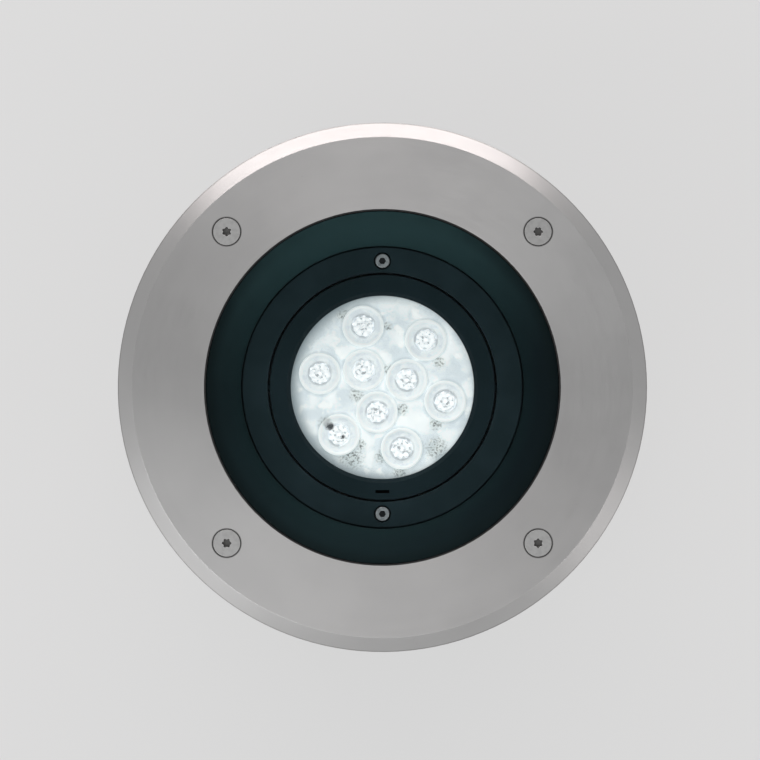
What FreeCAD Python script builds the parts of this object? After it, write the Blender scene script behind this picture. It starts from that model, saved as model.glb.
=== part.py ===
import FreeCAD, Part
import math
import os
import types

import Sketcher

# A recessed in-ground light with a round trim ring. All sizes in millimetres.
# Radii are stacked outward from the lenses, and depths downward from the flush top face.
# The origin is at the centre of the sleeve's foot, with +Z up.

SIZES = {
    # lenses and light board
    "lens_d": 20.0,
    "lens_gap": 1.1,
    "lens_height": 11.0,
    "lens_flange_t": 1.2,
    "lens_neck_d": 18.4,
    "lens_hole_gap": 0.1,
    "lens_base_d": 9.0,
    "lens_well_d": 6.0,
    "lens_well_depth": 4.0,
    "lens_core_d": 9.4,
    "lens_core_depth": 2.0,
    "lens_core_rise": 1.0,
    "lens_air": 1.0,
    "lens_turn": 17.5,
    "lens_margin": 2.55,
    "holder_wall": 2.0,
    "holder_plate_t": 2.0,
    "emitter_w": 3.5,
    "emitter_t": 1.4,
    "board_t": 1.6,
    "pad_t": 0.5,
    "holder_gap": 0.4,
    "lead_hole_d": 5.0,
    "lead_hole_y": 30.0,
    # heat sink
    "cup_wall": 4.3,
    "sink_base_t": 6.0,
    "fin_height": 18.0,
    "fin_inset": 6.0,
    "fin_t": 2.2,
    "fin_space": 3.8,
    "grommet_flange_t": 1.5,
    "grommet_wall": 1.5,
    "grommet_flange_w": 2.0,
    "sink_screw_d": 2.5,
    "sink_screw_bite": 3.0,
    "sink_screw_head_d": 4.5,
    "sink_screw_head_t": 2.5,
    "sink_screw_socket_w": 2.0,
    "sink_hole_gap": 0.1,
    # tilting inner ring
    "bezel_overhang": 0.55,
    "bezel_plate_t": 4.0,
    "bezel_height": 10.0,
    "bezel_taper": 1.8,
    "edge_bevel": 0.4,
    "sink_gap": 0.3,
    "skirt_wall": 3.7,
    "slot_length": 6.3,
    "slot_w": 1.2,
    "slot_depth": 1.0,
    "slot_inset": 4.2,
    # tilt pivot
    "pivot_drop": 4.5,
    "pin_d": 4.0,
    "pin_running_gap": 0.05,
    "pin_end_gap": 0.6,
    "pin_recess": 0.3,
    "bush_wall": 0.95,
    "bush_recess": 0.1,
    "tilt_gap": 0.42,
    # turning middle ring
    "hub_wall": 8.8,
    "hub_height": 8.9,
    "pan_plate_t": 5.0,
    "plate_overlap": 3.6,
    "ring_gap": 0.5,
    "turn_gap": 0.3,
    "lock_inset": 3.0,
    "lock_screw_d": 4.0,
    "lock_hole_gap": 0.3,
    "lock_head_d": 7.2,
    "lock_head_t": 4.0,
    "lock_head_gap": 0.5,
    "lock_head_recess": 0.2,
    "socket_w": 3.0,
    "socket_depth": 2.0,
    "thread_gap": 0.05,
    "shoe_t": 5.0,
    "shoe_w": 16.0,
    "shoe_reach": 3.0,
    "finger_reach": 4.0,
    "finger_w": 4.0,
    # fixed carrier of the middle ring
    "carrier_t": 4.0,
    "carrier_gap": 0.4,
    "carrier_screw_inset": 4.5,
    "carrier_screw_d": 4.0,
    "carrier_screw_length": 12.0,
    "pan_head_d": 7.6,
    "pan_head_t": 2.6,
    "carrier_boss_r": 5.0,
    "carrier_boss_height": 20.0,
    "stop_pin_d": 3.0,
    "stop_pin_length": 9.0,
    "stop_pin_reach": 6.5,
    # conical shroud
    "optic_drop": 19.0,
    "shroud_flare": 16.6,
    "shroud_t": 2.8,
    "shroud_rim_t": 5.0,
    "shroud_rim_w": 1.6,
    "shroud_seat_gap": 0.2,
    # glass and its gasket
    "upstand_t": 0.8,
    "upstand_recess": 0.3,
    "clamp_width": 6.8,
    "glass_flange_t": 10.0,
    "glass_bevel": 0.6,
    "gasket_wall": 2.5,
    "gasket_lip_t": 1.0,
    "gasket_seat_t": 2.0,
    "gasket_seat_w": 9.0,
    # stainless trim ring
    "lip_t": 4.0,
    "ring_seat_t": 6.0,
    "ring_t": 8.0,
    "ring_bevel_w": 6.8,
    "ring_bevel_t": 4.0,
    "rim_overhang": 12.0,
    "relief_gap": 0.6,
    # trim screws, their inserts and retainers
    "screw_inset": 10.4,
    "trim_screw_d": 6.0,
    "trim_screw_length": 30.0,
    "trim_head_d": 12.7,
    "trim_head_land": 0.3,
    "head_recess": 0.2,
    "head_side_gap": 0.5,
    "head_seat_gap": 0.05,
    "screw_hole_gap": 0.3,
    "star_core_d": 3.5,
    "star_lobe_d": 1.3,
    "star_reach": 1.6,
    "star_depth": 2.4,
    "retainer_d": 10.5,
    "retainer_t": 1.2,
    "retainer_gap": 0.25,
    "insert_wall": 1.5,
    "insert_length": 14.0,
    # housing
    "flange_t": 12.0,
    "flange_edge": 5.6,
    "pocket_wall": 3.0,
    "neck_depth": 24.0,
    "neck_slope": 8.0,
    "barrel_step": 1.2,
    "barrel_wall": 5.0,
    "floor_t": 5.0,
    "cooling_fin_depth": 8.0,
    "cooling_fin_t": 3.0,
    "cooling_fin_count": 32,
    "cooling_fin_top": 30.0,
    # gear tray
    "gear_drop": 36.0,
    "tray_t": 2.0,
    "tray_edge": 5.0,
    "tray_notch_w": 60.0,
    "tray_notch_depth": 26.0,
    "post_x": 60.0,
    "post_y": 36.0,
    "post_d": 8.0,
    "post_screw_d": 4.0,
    "post_screw_length": 10.0,
    "floor_boss_d": 12.0,
    "floor_boss_height": 3.0,
    "driver_length": 110.0,
    "driver_w": 60.0,
    "driver_height": 28.0,
    "driver_corner": 4.0,
    "driver_gap": 11.0,
    "driver_lug_w": 16.0,
    "driver_lug_reach": 11.0,
    "driver_lug_t": 3.0,
    "driver_screw_length": 8.0,
    "terminal_length": 42.0,
    "terminal_w": 18.0,
    "terminal_height": 18.0,
    "terminal_y": 28.0,
    "terminal_pitch": 14.0,
    "wire_hole_d": 4.2,
    "wire_hole_height": 6.0,
    "clamp_screw_d": 4.0,
    "clamp_screw_length": 8.0,
    "clamp_screw_offset": 5.0,
    "earth_x": 44.0,
    "earth_y": 4.0,
    "earth_screw_d": 5.0,
    "earth_head_d": 9.5,
    "earth_head_t": 3.5,
    "earth_washer_d": 14.0,
    "earth_washer_t": 1.2,
    # cable glands and vent in the housing's floor
    "gland_x": 30.0,
    "gland_y": 52.0,
    "gland_thread_d": 20.0,
    "gland_thread_length": 11.0,
    "gland_hole_gap": 0.2,
    "gland_hex_w": 24.0,
    "gland_hex_t": 6.0,
    "oring_t": 1.2,
    "oring_w": 2.0,
    "gland_wall": 1.8,
    "gland_neck_length": 8.0,
    "gland_cap_length": 19.0,
    "gland_dome_height": 5.0,
    "seal_length": 12.0,
    "cable_d": 11.0,
    "gland_mouth_gap": 0.5,
    "locknut_t": 5.0,
    "vent_y": 56.0,
    "vent_thread_d": 12.0,
    "vent_thread_length": 9.0,
    "vent_cap_d": 18.0,
    "vent_cap_t": 7.0,
    "vent_hole_d": 3.0,
    "vent_bevel": 0.8,
    # recess sleeve
    "flange_gap": 0.5,
    "sleeve_drop": 0.3,
    "collar_t": 3.0,
    "collar_relief": 1.5,
    "collar_relief_depth": 8.2,
    "collar_length": 20.0,
    "sleeve_step": 4.0,
    "sleeve_wall": 3.0,
    "boss_r": 6.5,
    "boss_height": 25.0,
    "cable_room": 40.5,
    "foot_t": 4.0,
    "foot_inset": 3.0,
    "foot_reach": 2.5,
    "rib_reach": 2.4,
    "rib_t": 3.0,
    "rib_count": 12,
    "notch_w": 30.0,
    "notch_height": 36.0,
}


class Size:
    """A length with the sheet formula that gives it, so that sums of sizes stay bound to the sheet."""

    def __init__(self, formula, value):
        self.formula = formula
        self.value = value

    def __add__(self, other):
        other = as_size(other)
        return Size(f"({self.formula} + {other.formula})", self.value + other.value)

    def __sub__(self, other):
        other = as_size(other)
        return Size(f"({self.formula} - {other.formula})", self.value - other.value)

    def __mul__(self, other):
        other = as_size(other)
        return Size(f"({self.formula} * {other.formula})", self.value * other.value)

    def __truediv__(self, other):
        other = as_size(other)
        return Size(f"({self.formula} / {other.formula})", self.value / other.value)

    def __radd__(self, other):
        return as_size(other) + self

    def __rsub__(self, other):
        return as_size(other) - self

    def __rmul__(self, other):
        return as_size(other) * self

    def __neg__(self):
        return Size(f"(0 - {self.formula})", -self.value)


def as_size(number):
    return number if isinstance(number, Size) else Size(repr(float(number)), float(number))


def root(square):
    return Size(f"sqrt({square.formula})", math.sqrt(square.value))


def hypotenuse(one, other):
    return root(one * one + other * other)


def smaller(one, other):
    return Size(f"min({one.formula}; {other.formula})", min(one.value, other.value))


def larger(one, other):
    return Size(f"max({one.formula}; {other.formula})", max(one.value, other.value))


def across(radius, degrees):
    """The X of a point at this radius and angle."""
    return radius * math.cos(math.radians(degrees))


def along(radius, degrees):
    """The Y of a point at this radius and angle."""
    return radius * math.sin(math.radians(degrees))


document = FreeCAD.newDocument("well_light")
sheet = document.addObject("Spreadsheet::Sheet", "sizes")
for row, (alias, number) in enumerate(SIZES.items(), start=1):
    sheet.set(f"A{row}", alias)
    sheet.set(f"B{row}", str(number))
    sheet.setAlias(f"B{row}", alias)
document.recompute()


s = types.SimpleNamespace(**{alias: Size(f"sizes.{alias}", number) for alias, number in SIZES.items()})

# Depths below the flush top face, from the glass down to the foot of the sleeve.
SHOULDER = s.lip_t + s.gasket_lip_t
GLASS_BOTTOM = SHOULDER + s.glass_flange_t
POCKET_FLOOR = GLASS_BOTTOM + s.gasket_seat_t
SHROUD_FLOOR = POCKET_FLOOR + s.shroud_rim_t
FLANGE_BOTTOM = s.ring_seat_t + s.flange_t
OPTIC_TOP = GLASS_BOTTOM + s.optic_drop
PAN_PLATE_BOTTOM = OPTIC_TOP + s.pan_plate_t
CARRIER_TOP = PAN_PLATE_BOTTOM + s.turn_gap
CARRIER_BOTTOM = CARRIER_TOP + s.carrier_t
SHOE_TOP = CARRIER_BOTTOM + s.turn_gap
SHOE_BOTTOM = SHOE_TOP + s.shoe_t
PIVOT = OPTIC_TOP + s.pivot_drop
LENS_TOP = OPTIC_TOP + s.bezel_plate_t
HOLDER_PLATE = LENS_TOP + s.lens_flange_t
BOARD_TOP = LENS_TOP + s.lens_height + s.lens_air
PAD_TOP = BOARD_TOP + s.board_t
SINK_TOP = PAD_TOP + s.pad_t
SINK_BOTTOM = SINK_TOP + s.sink_base_t
FIN_BOTTOM = SINK_BOTTOM + s.fin_height
TRAY_TOP = FIN_BOTTOM + s.gear_drop
TRAY_BOTTOM = TRAY_TOP + s.tray_t
DRIVER_BOTTOM = TRAY_BOTTOM + s.driver_height
FLOOR_TOP = DRIVER_BOTTOM + s.driver_gap
FLOOR_BOTTOM = FLOOR_TOP + s.floor_t
GLAND_HEX_TOP = FLOOR_BOTTOM + s.oring_t
GLAND_HEX_BOTTOM = GLAND_HEX_TOP + s.gland_hex_t
GLAND_CAP_TOP = GLAND_HEX_BOTTOM + s.gland_hole_gap
GLAND_BOTTOM = GLAND_CAP_TOP + s.gland_cap_length
TOP = GLAND_BOTTOM + s.cable_room

# Radii, from the lenses out to the rim of the trim ring.
INNER_LENS_COUNT = 3
OUTER_LENS_COUNT = 6
LENS_PITCH = s.lens_d + s.lens_gap
INNER_LENS_R = LENS_PITCH / (2 * math.sin(math.pi / INNER_LENS_COUNT))
OUTER_LENS_TURN = 30
OUTER_LENS_R = across(INNER_LENS_R, OUTER_LENS_TURN) + root(
    LENS_PITCH * LENS_PITCH - along(INNER_LENS_R, OUTER_LENS_TURN) * along(INNER_LENS_R, OUTER_LENS_TURN))
HOLDER_IN_R = OUTER_LENS_R + s.lens_d / 2 + s.lens_margin
HOLDER_R = HOLDER_IN_R + s.holder_wall
CUP_IN_R = HOLDER_R + s.holder_gap
SINK_R = CUP_IN_R + s.cup_wall
SINK_SCREW_R = CUP_IN_R + s.cup_wall / 2
SKIRT_IN_R = SINK_R + s.sink_gap
BEZEL_R = SKIRT_IN_R + s.skirt_wall
OPENING_R = HOLDER_IN_R + s.bezel_overhang
PAN_BORE_R = hypotenuse(BEZEL_R, larger(s.pivot_drop, s.bezel_height - s.pivot_drop)) + s.tilt_gap
HUB_R = PAN_BORE_R + s.hub_wall
PLATE_R = HUB_R + s.plate_overlap
LOCK_R = HUB_R - s.lock_inset
CARRIER_IN_R = HUB_R + s.ring_gap
SHROUD_IN_R = PLATE_R + s.ring_gap
WINDOW_R = SHROUD_IN_R + s.shroud_flare
BARREL_IN_R = WINDOW_R - s.barrel_step
BARREL_R = BARREL_IN_R + s.barrel_wall
COOLING_FIN_R = BARREL_R + s.cooling_fin_depth
CARRIER_R = BARREL_IN_R - s.carrier_gap
CARRIER_SCREW_R = BARREL_IN_R - s.carrier_screw_inset
STOP_PIN_R = HUB_R + s.stop_pin_reach
GLASS_R = WINDOW_R - s.upstand_t
GLASS_FLANGE_R = WINDOW_R + s.clamp_width
POCKET_R = GLASS_FLANGE_R + s.gasket_wall
NECK_R = POCKET_R + s.pocket_wall
SHROUD_R = WINDOW_R + s.shroud_rim_w
SHROUD_SEAT_R = SHROUD_R + s.shroud_seat_gap
SCREW_R = POCKET_R + s.screw_inset
FLANGE_R = SCREW_R + s.flange_edge
COLLAR_IN_R = FLANGE_R + s.flange_gap
COLLAR_R = COLLAR_IN_R + s.collar_t
SLEEVE_R = COLLAR_R - s.sleeve_step
SLEEVE_IN_R = SLEEVE_R - s.sleeve_wall
RELIEF_R = COLLAR_R + s.relief_gap
RING_R = COLLAR_R + s.rim_overhang

# The trim screws and the carrier's screws stand on the diagonals.
DIAGONAL = 45
SCREW_SPOT = (across(SCREW_R, DIAGONAL), along(SCREW_R, DIAGONAL))
CARRIER_SPOT = (across(CARRIER_SCREW_R, DIAGONAL), along(CARRIER_SCREW_R, DIAGONAL))
DIAGONAL_COUNT = 4
SINK_SCREW_COUNT = 3
HEX_TO_CORNER = 1 / math.cos(math.radians(30))
SIXTH_TURN = 60

# Shares of the size they round or bevel: a boss's half width, a screw's head and its shank.
CORNER_SHARE = 0.9
HEAD_BEVEL_SHARE = 0.25
TIP_BEVEL_SHARE = 0.125
# Half way out, a parabola keeps this share of its rise.
PARABOLA_SHARE = 0.75

pieces = []


def new_piece(name):
    body = document.addObject("PartDesign::Body", name)
    body.Label = name
    pieces.append(body)
    return body


def origin_part(body, role):
    return [part for part in body.Origin.OriginFeatures if part.Role == role][0]


def new_sketch(body, role, offset, turn=0):
    """A sketch on one of the piece's main planes, shifted by three sizes in the plane's own axes."""
    sketch = body.newObject("Sketcher::SketchObject", f"{body.Name}_sketch")
    sketch.AttachmentSupport = [(origin_part(body, role), "")]
    sketch.MapMode = "FlatFace"
    base = FreeCAD.Vector(*[as_size(part).value for part in offset])
    sketch.AttachmentOffset = FreeCAD.Placement(base, FreeCAD.Rotation(FreeCAD.Vector(0, 0, 1), turn))
    for axis, part in zip("xyz", offset):
        sketch.setExpression(f"AttachmentOffset.Base.{axis}", as_size(part).formula)
    return sketch


def fix_point(sketch, geometry, end, spot):
    """Ties a point of the sketch to its distances from the sketch's origin."""
    for kind, upright, value in (("DistanceX", -2, spot[0]), ("DistanceY", -1, spot[1])):
        if not isinstance(value, Size) and value == 0:
            sketch.addConstraint(Sketcher.Constraint("PointOnObject", geometry, end, upright))
        else:
            size = as_size(value)
            number = sketch.addConstraint(Sketcher.Constraint(kind, -1, 1, geometry, end, size.value))
            sketch.setExpression(f"Constraints[{number}]", size.formula)


def draw_outline(sketch, corners):
    """A closed outline. A corner with a third value is rounded with that radius."""
    spots = [FreeCAD.Vector(as_size(corner[0]).value, as_size(corner[1]).value, 0) for corner in corners]
    radii = [corner[2] if len(corner) > 2 else None for corner in corners]
    count = len(corners)
    ends = []
    for index, spot in enumerate(spots):
        back = (spots[index - 1] - spot).normalize()
        ahead = (spots[(index + 1) % count] - spot).normalize()
        cut = 0
        if radii[index] is not None:
            cut = radii[index].value / math.tan(back.getAngle(ahead) / 2)
        ends.append((spot + back * cut, spot + ahead * cut, back, ahead))
    first = sketch.GeometryCount
    for index in range(count):
        sketch.addGeometry(Part.LineSegment(ends[index][1], ends[(index + 1) % count][0]))
    for index in range(count):
        before = first + (index - 1) % count
        after = first + index
        if radii[index] is None:
            sketch.addConstraint(Sketcher.Constraint("Coincident", before, 2, after, 1))
            fix_point(sketch, after, 1, corners[index])
            continue
        arrive, leave, back, ahead = ends[index]
        radius = radii[index]
        reach = radius.value / math.sin(back.getAngle(ahead) / 2)
        centre = spots[index] + (back + ahead).normalize() * reach
        left_turn = back.cross(ahead).z < 0
        start, stop = (arrive, leave) if left_turn else (leave, arrive)
        angles = [math.atan2(point.y - centre.y, point.x - centre.x) for point in (start, stop)]
        circle = Part.Circle(centre, FreeCAD.Vector(0, 0, 1), radius.value)
        arc = sketch.addGeometry(Part.ArcOfCircle(circle, angles[0], angles[1]))
        corner = sketch.addGeometry(Part.Point(spots[index]), True)
        fix_point(sketch, corner, 1, corners[index])
        sketch.addConstraint(Sketcher.Constraint("PointOnObject", corner, 1, before))
        sketch.addConstraint(Sketcher.Constraint("PointOnObject", corner, 1, after))
        arc_start, arc_end = (1, 2) if left_turn else (2, 1)
        sketch.addConstraint(Sketcher.Constraint("Tangent", before, 2, arc, arc_start))
        sketch.addConstraint(Sketcher.Constraint("Tangent", arc, arc_end, after, 1))
        number = sketch.addConstraint(Sketcher.Constraint("Radius", arc, radius.value))
        sketch.setExpression(f"Constraints[{number}]", radius.formula)


def draw_circle(sketch, spot, diameter):
    diameter = as_size(diameter)
    centre = FreeCAD.Vector(as_size(spot[0]).value, as_size(spot[1]).value, 0)
    circle = sketch.addGeometry(Part.Circle(centre, FreeCAD.Vector(0, 0, 1), diameter.value / 2))
    fix_point(sketch, circle, 3, spot)
    number = sketch.addConstraint(Sketcher.Constraint("Diameter", circle, diameter.value))
    sketch.setExpression(f"Constraints[{number}]", diameter.formula)


def turn_profile(body, profile, spot=(0, 0), cut=False):
    """Turns an outline of (radius, depth below the top face) about an upright axis through the spot."""
    sketch = new_sketch(body, "XZ_Plane", (spot[0], TOP, -as_size(spot[1])))
    draw_outline(sketch, [(corner[0], -as_size(corner[1]), *corner[2:]) for corner in profile])
    feature = body.newObject("PartDesign::Groove" if cut else "PartDesign::Revolution", f"{body.Name}_turn")
    feature.Profile = sketch
    feature.ReferenceAxis = (sketch, ["V_Axis"])
    feature.Angle = 360
    sketch.Visibility = False
    return feature


def raise_or_cut(body, kind, sketch, length, reverse):
    feature = body.newObject(kind, f"{body.Name}_feature")
    feature.Profile = sketch
    feature.setExpression("Length", as_size(length).formula)
    feature.Reversed = reverse
    return feature


def layer(body, depth, thickness, outlines=(), circles=(), turn=0, cut=False):
    """Adds or cuts the drawn shapes downward from a depth below the top face."""
    sketch = new_sketch(body, "XY_Plane", (0, 0, TOP - depth), turn)
    for corners in outlines:
        draw_outline(sketch, corners)
    for spot, diameter in circles:
        draw_circle(sketch, spot, diameter)
    kind = "PartDesign::Pocket" if cut else "PartDesign::Pad"
    return raise_or_cut(body, kind, sketch, thickness, not cut)


def side_bore(body, distance, length, depth, diameter):
    """Bores a round hole along +X from a distance off the axis, and the same one on the other side."""
    sketch = new_sketch(body, "YZ_Plane", (0, TOP - depth, distance))
    draw_circle(sketch, (0, 0), diameter)
    bore = raise_or_cut(body, "PartDesign::Pocket", sketch, length, True)
    return around(body, [bore], 2)


def around(body, features, count, axis=None):
    """Repeats features round the piece's own upright axis, or round the normal of a sketch."""
    pattern = body.newObject("PartDesign::PolarPattern", f"{body.Name}_circle")
    pattern.Originals = features
    pattern.Axis = axis or (origin_part(body, "Z_Axis"), [""])
    pattern.Angle = 360
    pattern.setExpression("Occurrences", as_size(count).formula)
    body.Tip = pattern
    return pattern


def whole_around(body, count):
    """Repeats the whole piece round the upright axis, as separate solids."""
    document.recompute()
    pattern = body.newObject("PartDesign::PolarPattern", f"{body.Name}_circle")
    pattern.TransformMode = "Whole shape"
    pattern.Axis = (origin_part(body, "Z_Axis"), [""])
    pattern.Angle = 360
    pattern.Occurrences = count
    body.Tip = pattern


def whole_mirrored(body, role):
    """Repeats the whole piece on the other side of a main plane."""
    document.recompute()
    mirror = body.newObject("PartDesign::Mirrored", f"{body.Name}_mirror")
    mirror.TransformMode = "Whole shape"
    mirror.MirrorPlane = (origin_part(body, role), [""])
    body.Tip = mirror


def four_corners(body):
    whole_mirrored(body, "YZ_Plane")
    whole_mirrored(body, "XZ_Plane")


def four_spots(x, y):
    return [(x, y), (-x, y), (x, -y), (-x, -y)]


def rectangle(left, right, low, high, radius=None):
    rounding = () if radius is None else (radius,)
    corners = ((left, low), (right, low), (right, high), (left, high))
    return [(*corner, *rounding) for corner in corners]


def hexagon(spot, width):
    """A hexagon by its width across the flats."""
    reach = width / 2 * HEX_TO_CORNER
    angles = [SIXTH_TURN * step for step in range(6)]
    return [(spot[0] + across(reach, angle), spot[1] + along(reach, angle)) for angle in angles]


def hollow_disc(body, outer_r, inner_r, top, bottom):
    return turn_profile(body, [(inner_r, top), (outer_r, top), (outer_r, bottom), (inner_r, bottom)])


def pan_head_screw(body, spot, seat, head_d, head_t, shank_d, length):
    """A screw with a flat-topped round head that stands on the seat, its shank below."""
    edge = head_t * HEAD_BEVEL_SHARE
    tip = shank_d * TIP_BEVEL_SHARE
    return turn_profile(body, [
        (0, seat - head_t), (head_d / 2 - edge, seat - head_t), (head_d / 2, seat - head_t + edge),
        (head_d / 2, seat), (shank_d / 2, seat), (shank_d / 2, seat + length - tip),
        (shank_d / 2 - tip, seat + length), (0, seat + length)], spot)


# ---- The light head, which tilts ----

# Bezel: the machined inner ring that frames the lenses. Its skirt holds the tilt bushes and the heat sink.
optic_bezel = new_piece("optic_bezel")
turn_profile(optic_bezel, [
    (OPENING_R + s.bezel_taper, OPTIC_TOP),
    (BEZEL_R - s.edge_bevel, OPTIC_TOP),
    (BEZEL_R, OPTIC_TOP + s.edge_bevel),
    (BEZEL_R, OPTIC_TOP + s.bezel_height),
    (SKIRT_IN_R, OPTIC_TOP + s.bezel_height),
    (SKIRT_IN_R, LENS_TOP),
    (OPENING_R, LENS_TOP),
    (OPENING_R, OPTIC_TOP + s.bezel_taper)])
slot_y = BEZEL_R - s.slot_inset
layer(optic_bezel, OPTIC_TOP, s.slot_depth, [rectangle(
    -s.slot_length / 2, s.slot_length / 2, -slot_y - s.slot_w / 2, -slot_y + s.slot_w / 2)], cut=True)
bush_r = s.pin_d / 2 + s.pin_running_gap + s.bush_wall
side_bore(optic_bezel, SKIRT_IN_R, s.skirt_wall * 2, PIVOT, bush_r * 2)
tapped = layer(optic_bezel, LENS_TOP, s.sink_screw_bite + s.thread_gap, (), [
    ((across(SINK_SCREW_R, 90), along(SINK_SCREW_R, 90)), s.sink_screw_d + s.thread_gap * 2)], cut=True)
tapped.Reversed = True
around(optic_bezel, [tapped], SINK_SCREW_COUNT)

# Lens holder: a white moulded cup that stands on the board and holds the lenses by their flanges.
lens_holder = new_piece("lens_holder")
turn_profile(lens_holder, [
    (0, HOLDER_PLATE), (HOLDER_IN_R, HOLDER_PLATE), (HOLDER_IN_R, LENS_TOP), (HOLDER_R, LENS_TOP),
    (HOLDER_R, BOARD_TOP), (HOLDER_IN_R, BOARD_TOP), (HOLDER_IN_R, HOLDER_PLATE + s.holder_plate_t),
    (0, HOLDER_PLATE + s.holder_plate_t)])
lens_groups = (
    (INNER_LENS_R, SIZES["lens_turn"], INNER_LENS_COUNT),
    (OUTER_LENS_R, SIZES["lens_turn"] + OUTER_LENS_TURN, OUTER_LENS_COUNT))
for reach, angle, count in lens_groups:
    hole = layer(lens_holder, HOLDER_PLATE, s.holder_plate_t, (), [
        ((across(reach, angle), along(reach, angle)), s.lens_neck_d + s.lens_hole_gap * 2)], cut=True)
    around(lens_holder, [hole], count)

# Lenses: clear moulded collimators, each with a flange at its mouth and a well over its emitter.
tir_lenses = new_piece("tir_lenses")
for reach, angle, count in lens_groups:
    lens = turn_profile(tir_lenses, [
        (0, LENS_TOP + s.lens_core_depth - s.lens_core_rise),
        (s.lens_core_d / 4, LENS_TOP + s.lens_core_depth - s.lens_core_rise * PARABOLA_SHARE),
        (s.lens_core_d / 2, LENS_TOP + s.lens_core_depth),
        (s.lens_core_d / 2, LENS_TOP),
        (s.lens_d / 2, LENS_TOP),
        (s.lens_d / 2, HOLDER_PLATE),
        (s.lens_neck_d / 2, HOLDER_PLATE),
        (s.lens_neck_d / 2, HOLDER_PLATE + s.holder_plate_t),
        (s.lens_base_d / 2, LENS_TOP + s.lens_height),
        (s.lens_well_d / 2, LENS_TOP + s.lens_height),
        (s.lens_well_d / 2, LENS_TOP + s.lens_height - s.lens_well_depth),
        (0, LENS_TOP + s.lens_height - s.lens_well_depth)],
        (across(reach, angle), along(reach, angle)))
    around(tir_lenses, [lens], count)

# Emitters: square packages on the board, one below each lens.
led_emitters = new_piece("led_emitters")
for reach, angle, count in lens_groups:
    half = s.emitter_w / 2
    chip = layer(led_emitters, BOARD_TOP - s.emitter_t, s.emitter_t, [
        rectangle(reach - half, reach + half, -half, half)], turn=angle)
    around(led_emitters, [chip], count)

# Board, thermal pad: discs clamped between the lens holder and the heat sink, with a hole for the lead.
lead_spot = (0, -s.lead_hole_y)
led_board = new_piece("led_board")
layer(led_board, BOARD_TOP, s.board_t, (), [((0, 0), HOLDER_R * 2), (lead_spot, s.lead_hole_d)])
thermal_pad = new_piece("thermal_pad")
layer(thermal_pad, PAD_TOP, s.pad_t, (), [((0, 0), HOLDER_R * 2), (lead_spot, s.lead_hole_d)])

# Heat sink: a turned cup round the board, with straight fins milled across the underside.
heat_sink = new_piece("heat_sink")
turn_profile(heat_sink, [
    (CUP_IN_R, LENS_TOP), (SINK_R, LENS_TOP), (SINK_R, SINK_BOTTOM), (SINK_R - s.fin_inset, SINK_BOTTOM),
    (SINK_R - s.fin_inset, FIN_BOTTOM), (0, FIN_BOTTOM), (0, SINK_TOP), (CUP_IN_R, SINK_TOP)])
fin_pitch = s.fin_t + s.fin_space
fin_radius = SINK_R - s.fin_inset
fin_space_count = int(2 * fin_radius.value / fin_pitch.value)
first_space = -(fin_pitch * (fin_space_count - 1) + s.fin_space) / 2
layer(heat_sink, SINK_BOTTOM, s.fin_height, [
    rectangle(first_space + fin_pitch * step, first_space + fin_pitch * step + s.fin_space,
              -SINK_R, SINK_R) for step in range(fin_space_count)], cut=True)
grommet_r = s.lead_hole_d / 2 + s.grommet_wall
grommet_flange_r = grommet_r + s.grommet_flange_w
layer(heat_sink, SINK_BOTTOM, s.fin_height, (), [(lead_spot, (grommet_flange_r + s.ring_gap) * 2)], cut=True)
layer(heat_sink, SINK_TOP, s.sink_base_t, (), [(lead_spot, grommet_r * 2)], cut=True)
sink_hole = layer(heat_sink, LENS_TOP, SINK_BOTTOM - LENS_TOP, (), [
    ((0, SINK_SCREW_R), s.sink_screw_d + s.sink_hole_gap * 2)], cut=True)
around(heat_sink, [sink_hole], SINK_SCREW_COUNT)

# Three long screws come up through the cup's wall into the bezel.
heat_sink_screws = new_piece("heat_sink_screws")
turn_profile(heat_sink_screws, [
    (0, LENS_TOP - s.sink_screw_bite), (s.sink_screw_d / 2, LENS_TOP - s.sink_screw_bite),
    (s.sink_screw_d / 2, SINK_BOTTOM), (s.sink_screw_head_d / 2, SINK_BOTTOM),
    (s.sink_screw_head_d / 2, SINK_BOTTOM + s.sink_screw_head_t), (0, SINK_BOTTOM + s.sink_screw_head_t)],
    (0, SINK_SCREW_R))
layer(heat_sink_screws, SINK_BOTTOM + s.sink_screw_head_t / 2, s.sink_screw_head_t / 2, [
    hexagon((0, SINK_SCREW_R), s.sink_screw_socket_w)], cut=True)
whole_around(heat_sink_screws, SINK_SCREW_COUNT)

# Grommet: rubber bush that the head's lead comes out of.
lead_grommet = new_piece("lead_grommet")
turn_profile(lead_grommet, [
    (s.lead_hole_d / 2, SINK_TOP), (grommet_r, SINK_TOP), (grommet_r, SINK_BOTTOM),
    (grommet_flange_r, SINK_BOTTOM), (grommet_flange_r, SINK_BOTTOM + s.grommet_flange_t),
    (s.lead_hole_d / 2, SINK_BOTTOM + s.grommet_flange_t)], lead_spot)

# Bushes: plain bearings pressed into the bezel's skirt.
pivot_bushes = new_piece("pivot_bushes")
bush_sketch = new_sketch(pivot_bushes, "YZ_Plane", (0, TOP - PIVOT, SKIRT_IN_R))
draw_circle(bush_sketch, (0, 0), bush_r * 2)
draw_circle(bush_sketch, (0, 0), s.pin_d + s.pin_running_gap * 2)
raise_or_cut(pivot_bushes, "PartDesign::Pad", bush_sketch, s.skirt_wall - s.bush_recess, False)
whole_mirrored(pivot_bushes, "YZ_Plane")

# ---- The middle ring, which turns ----

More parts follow.
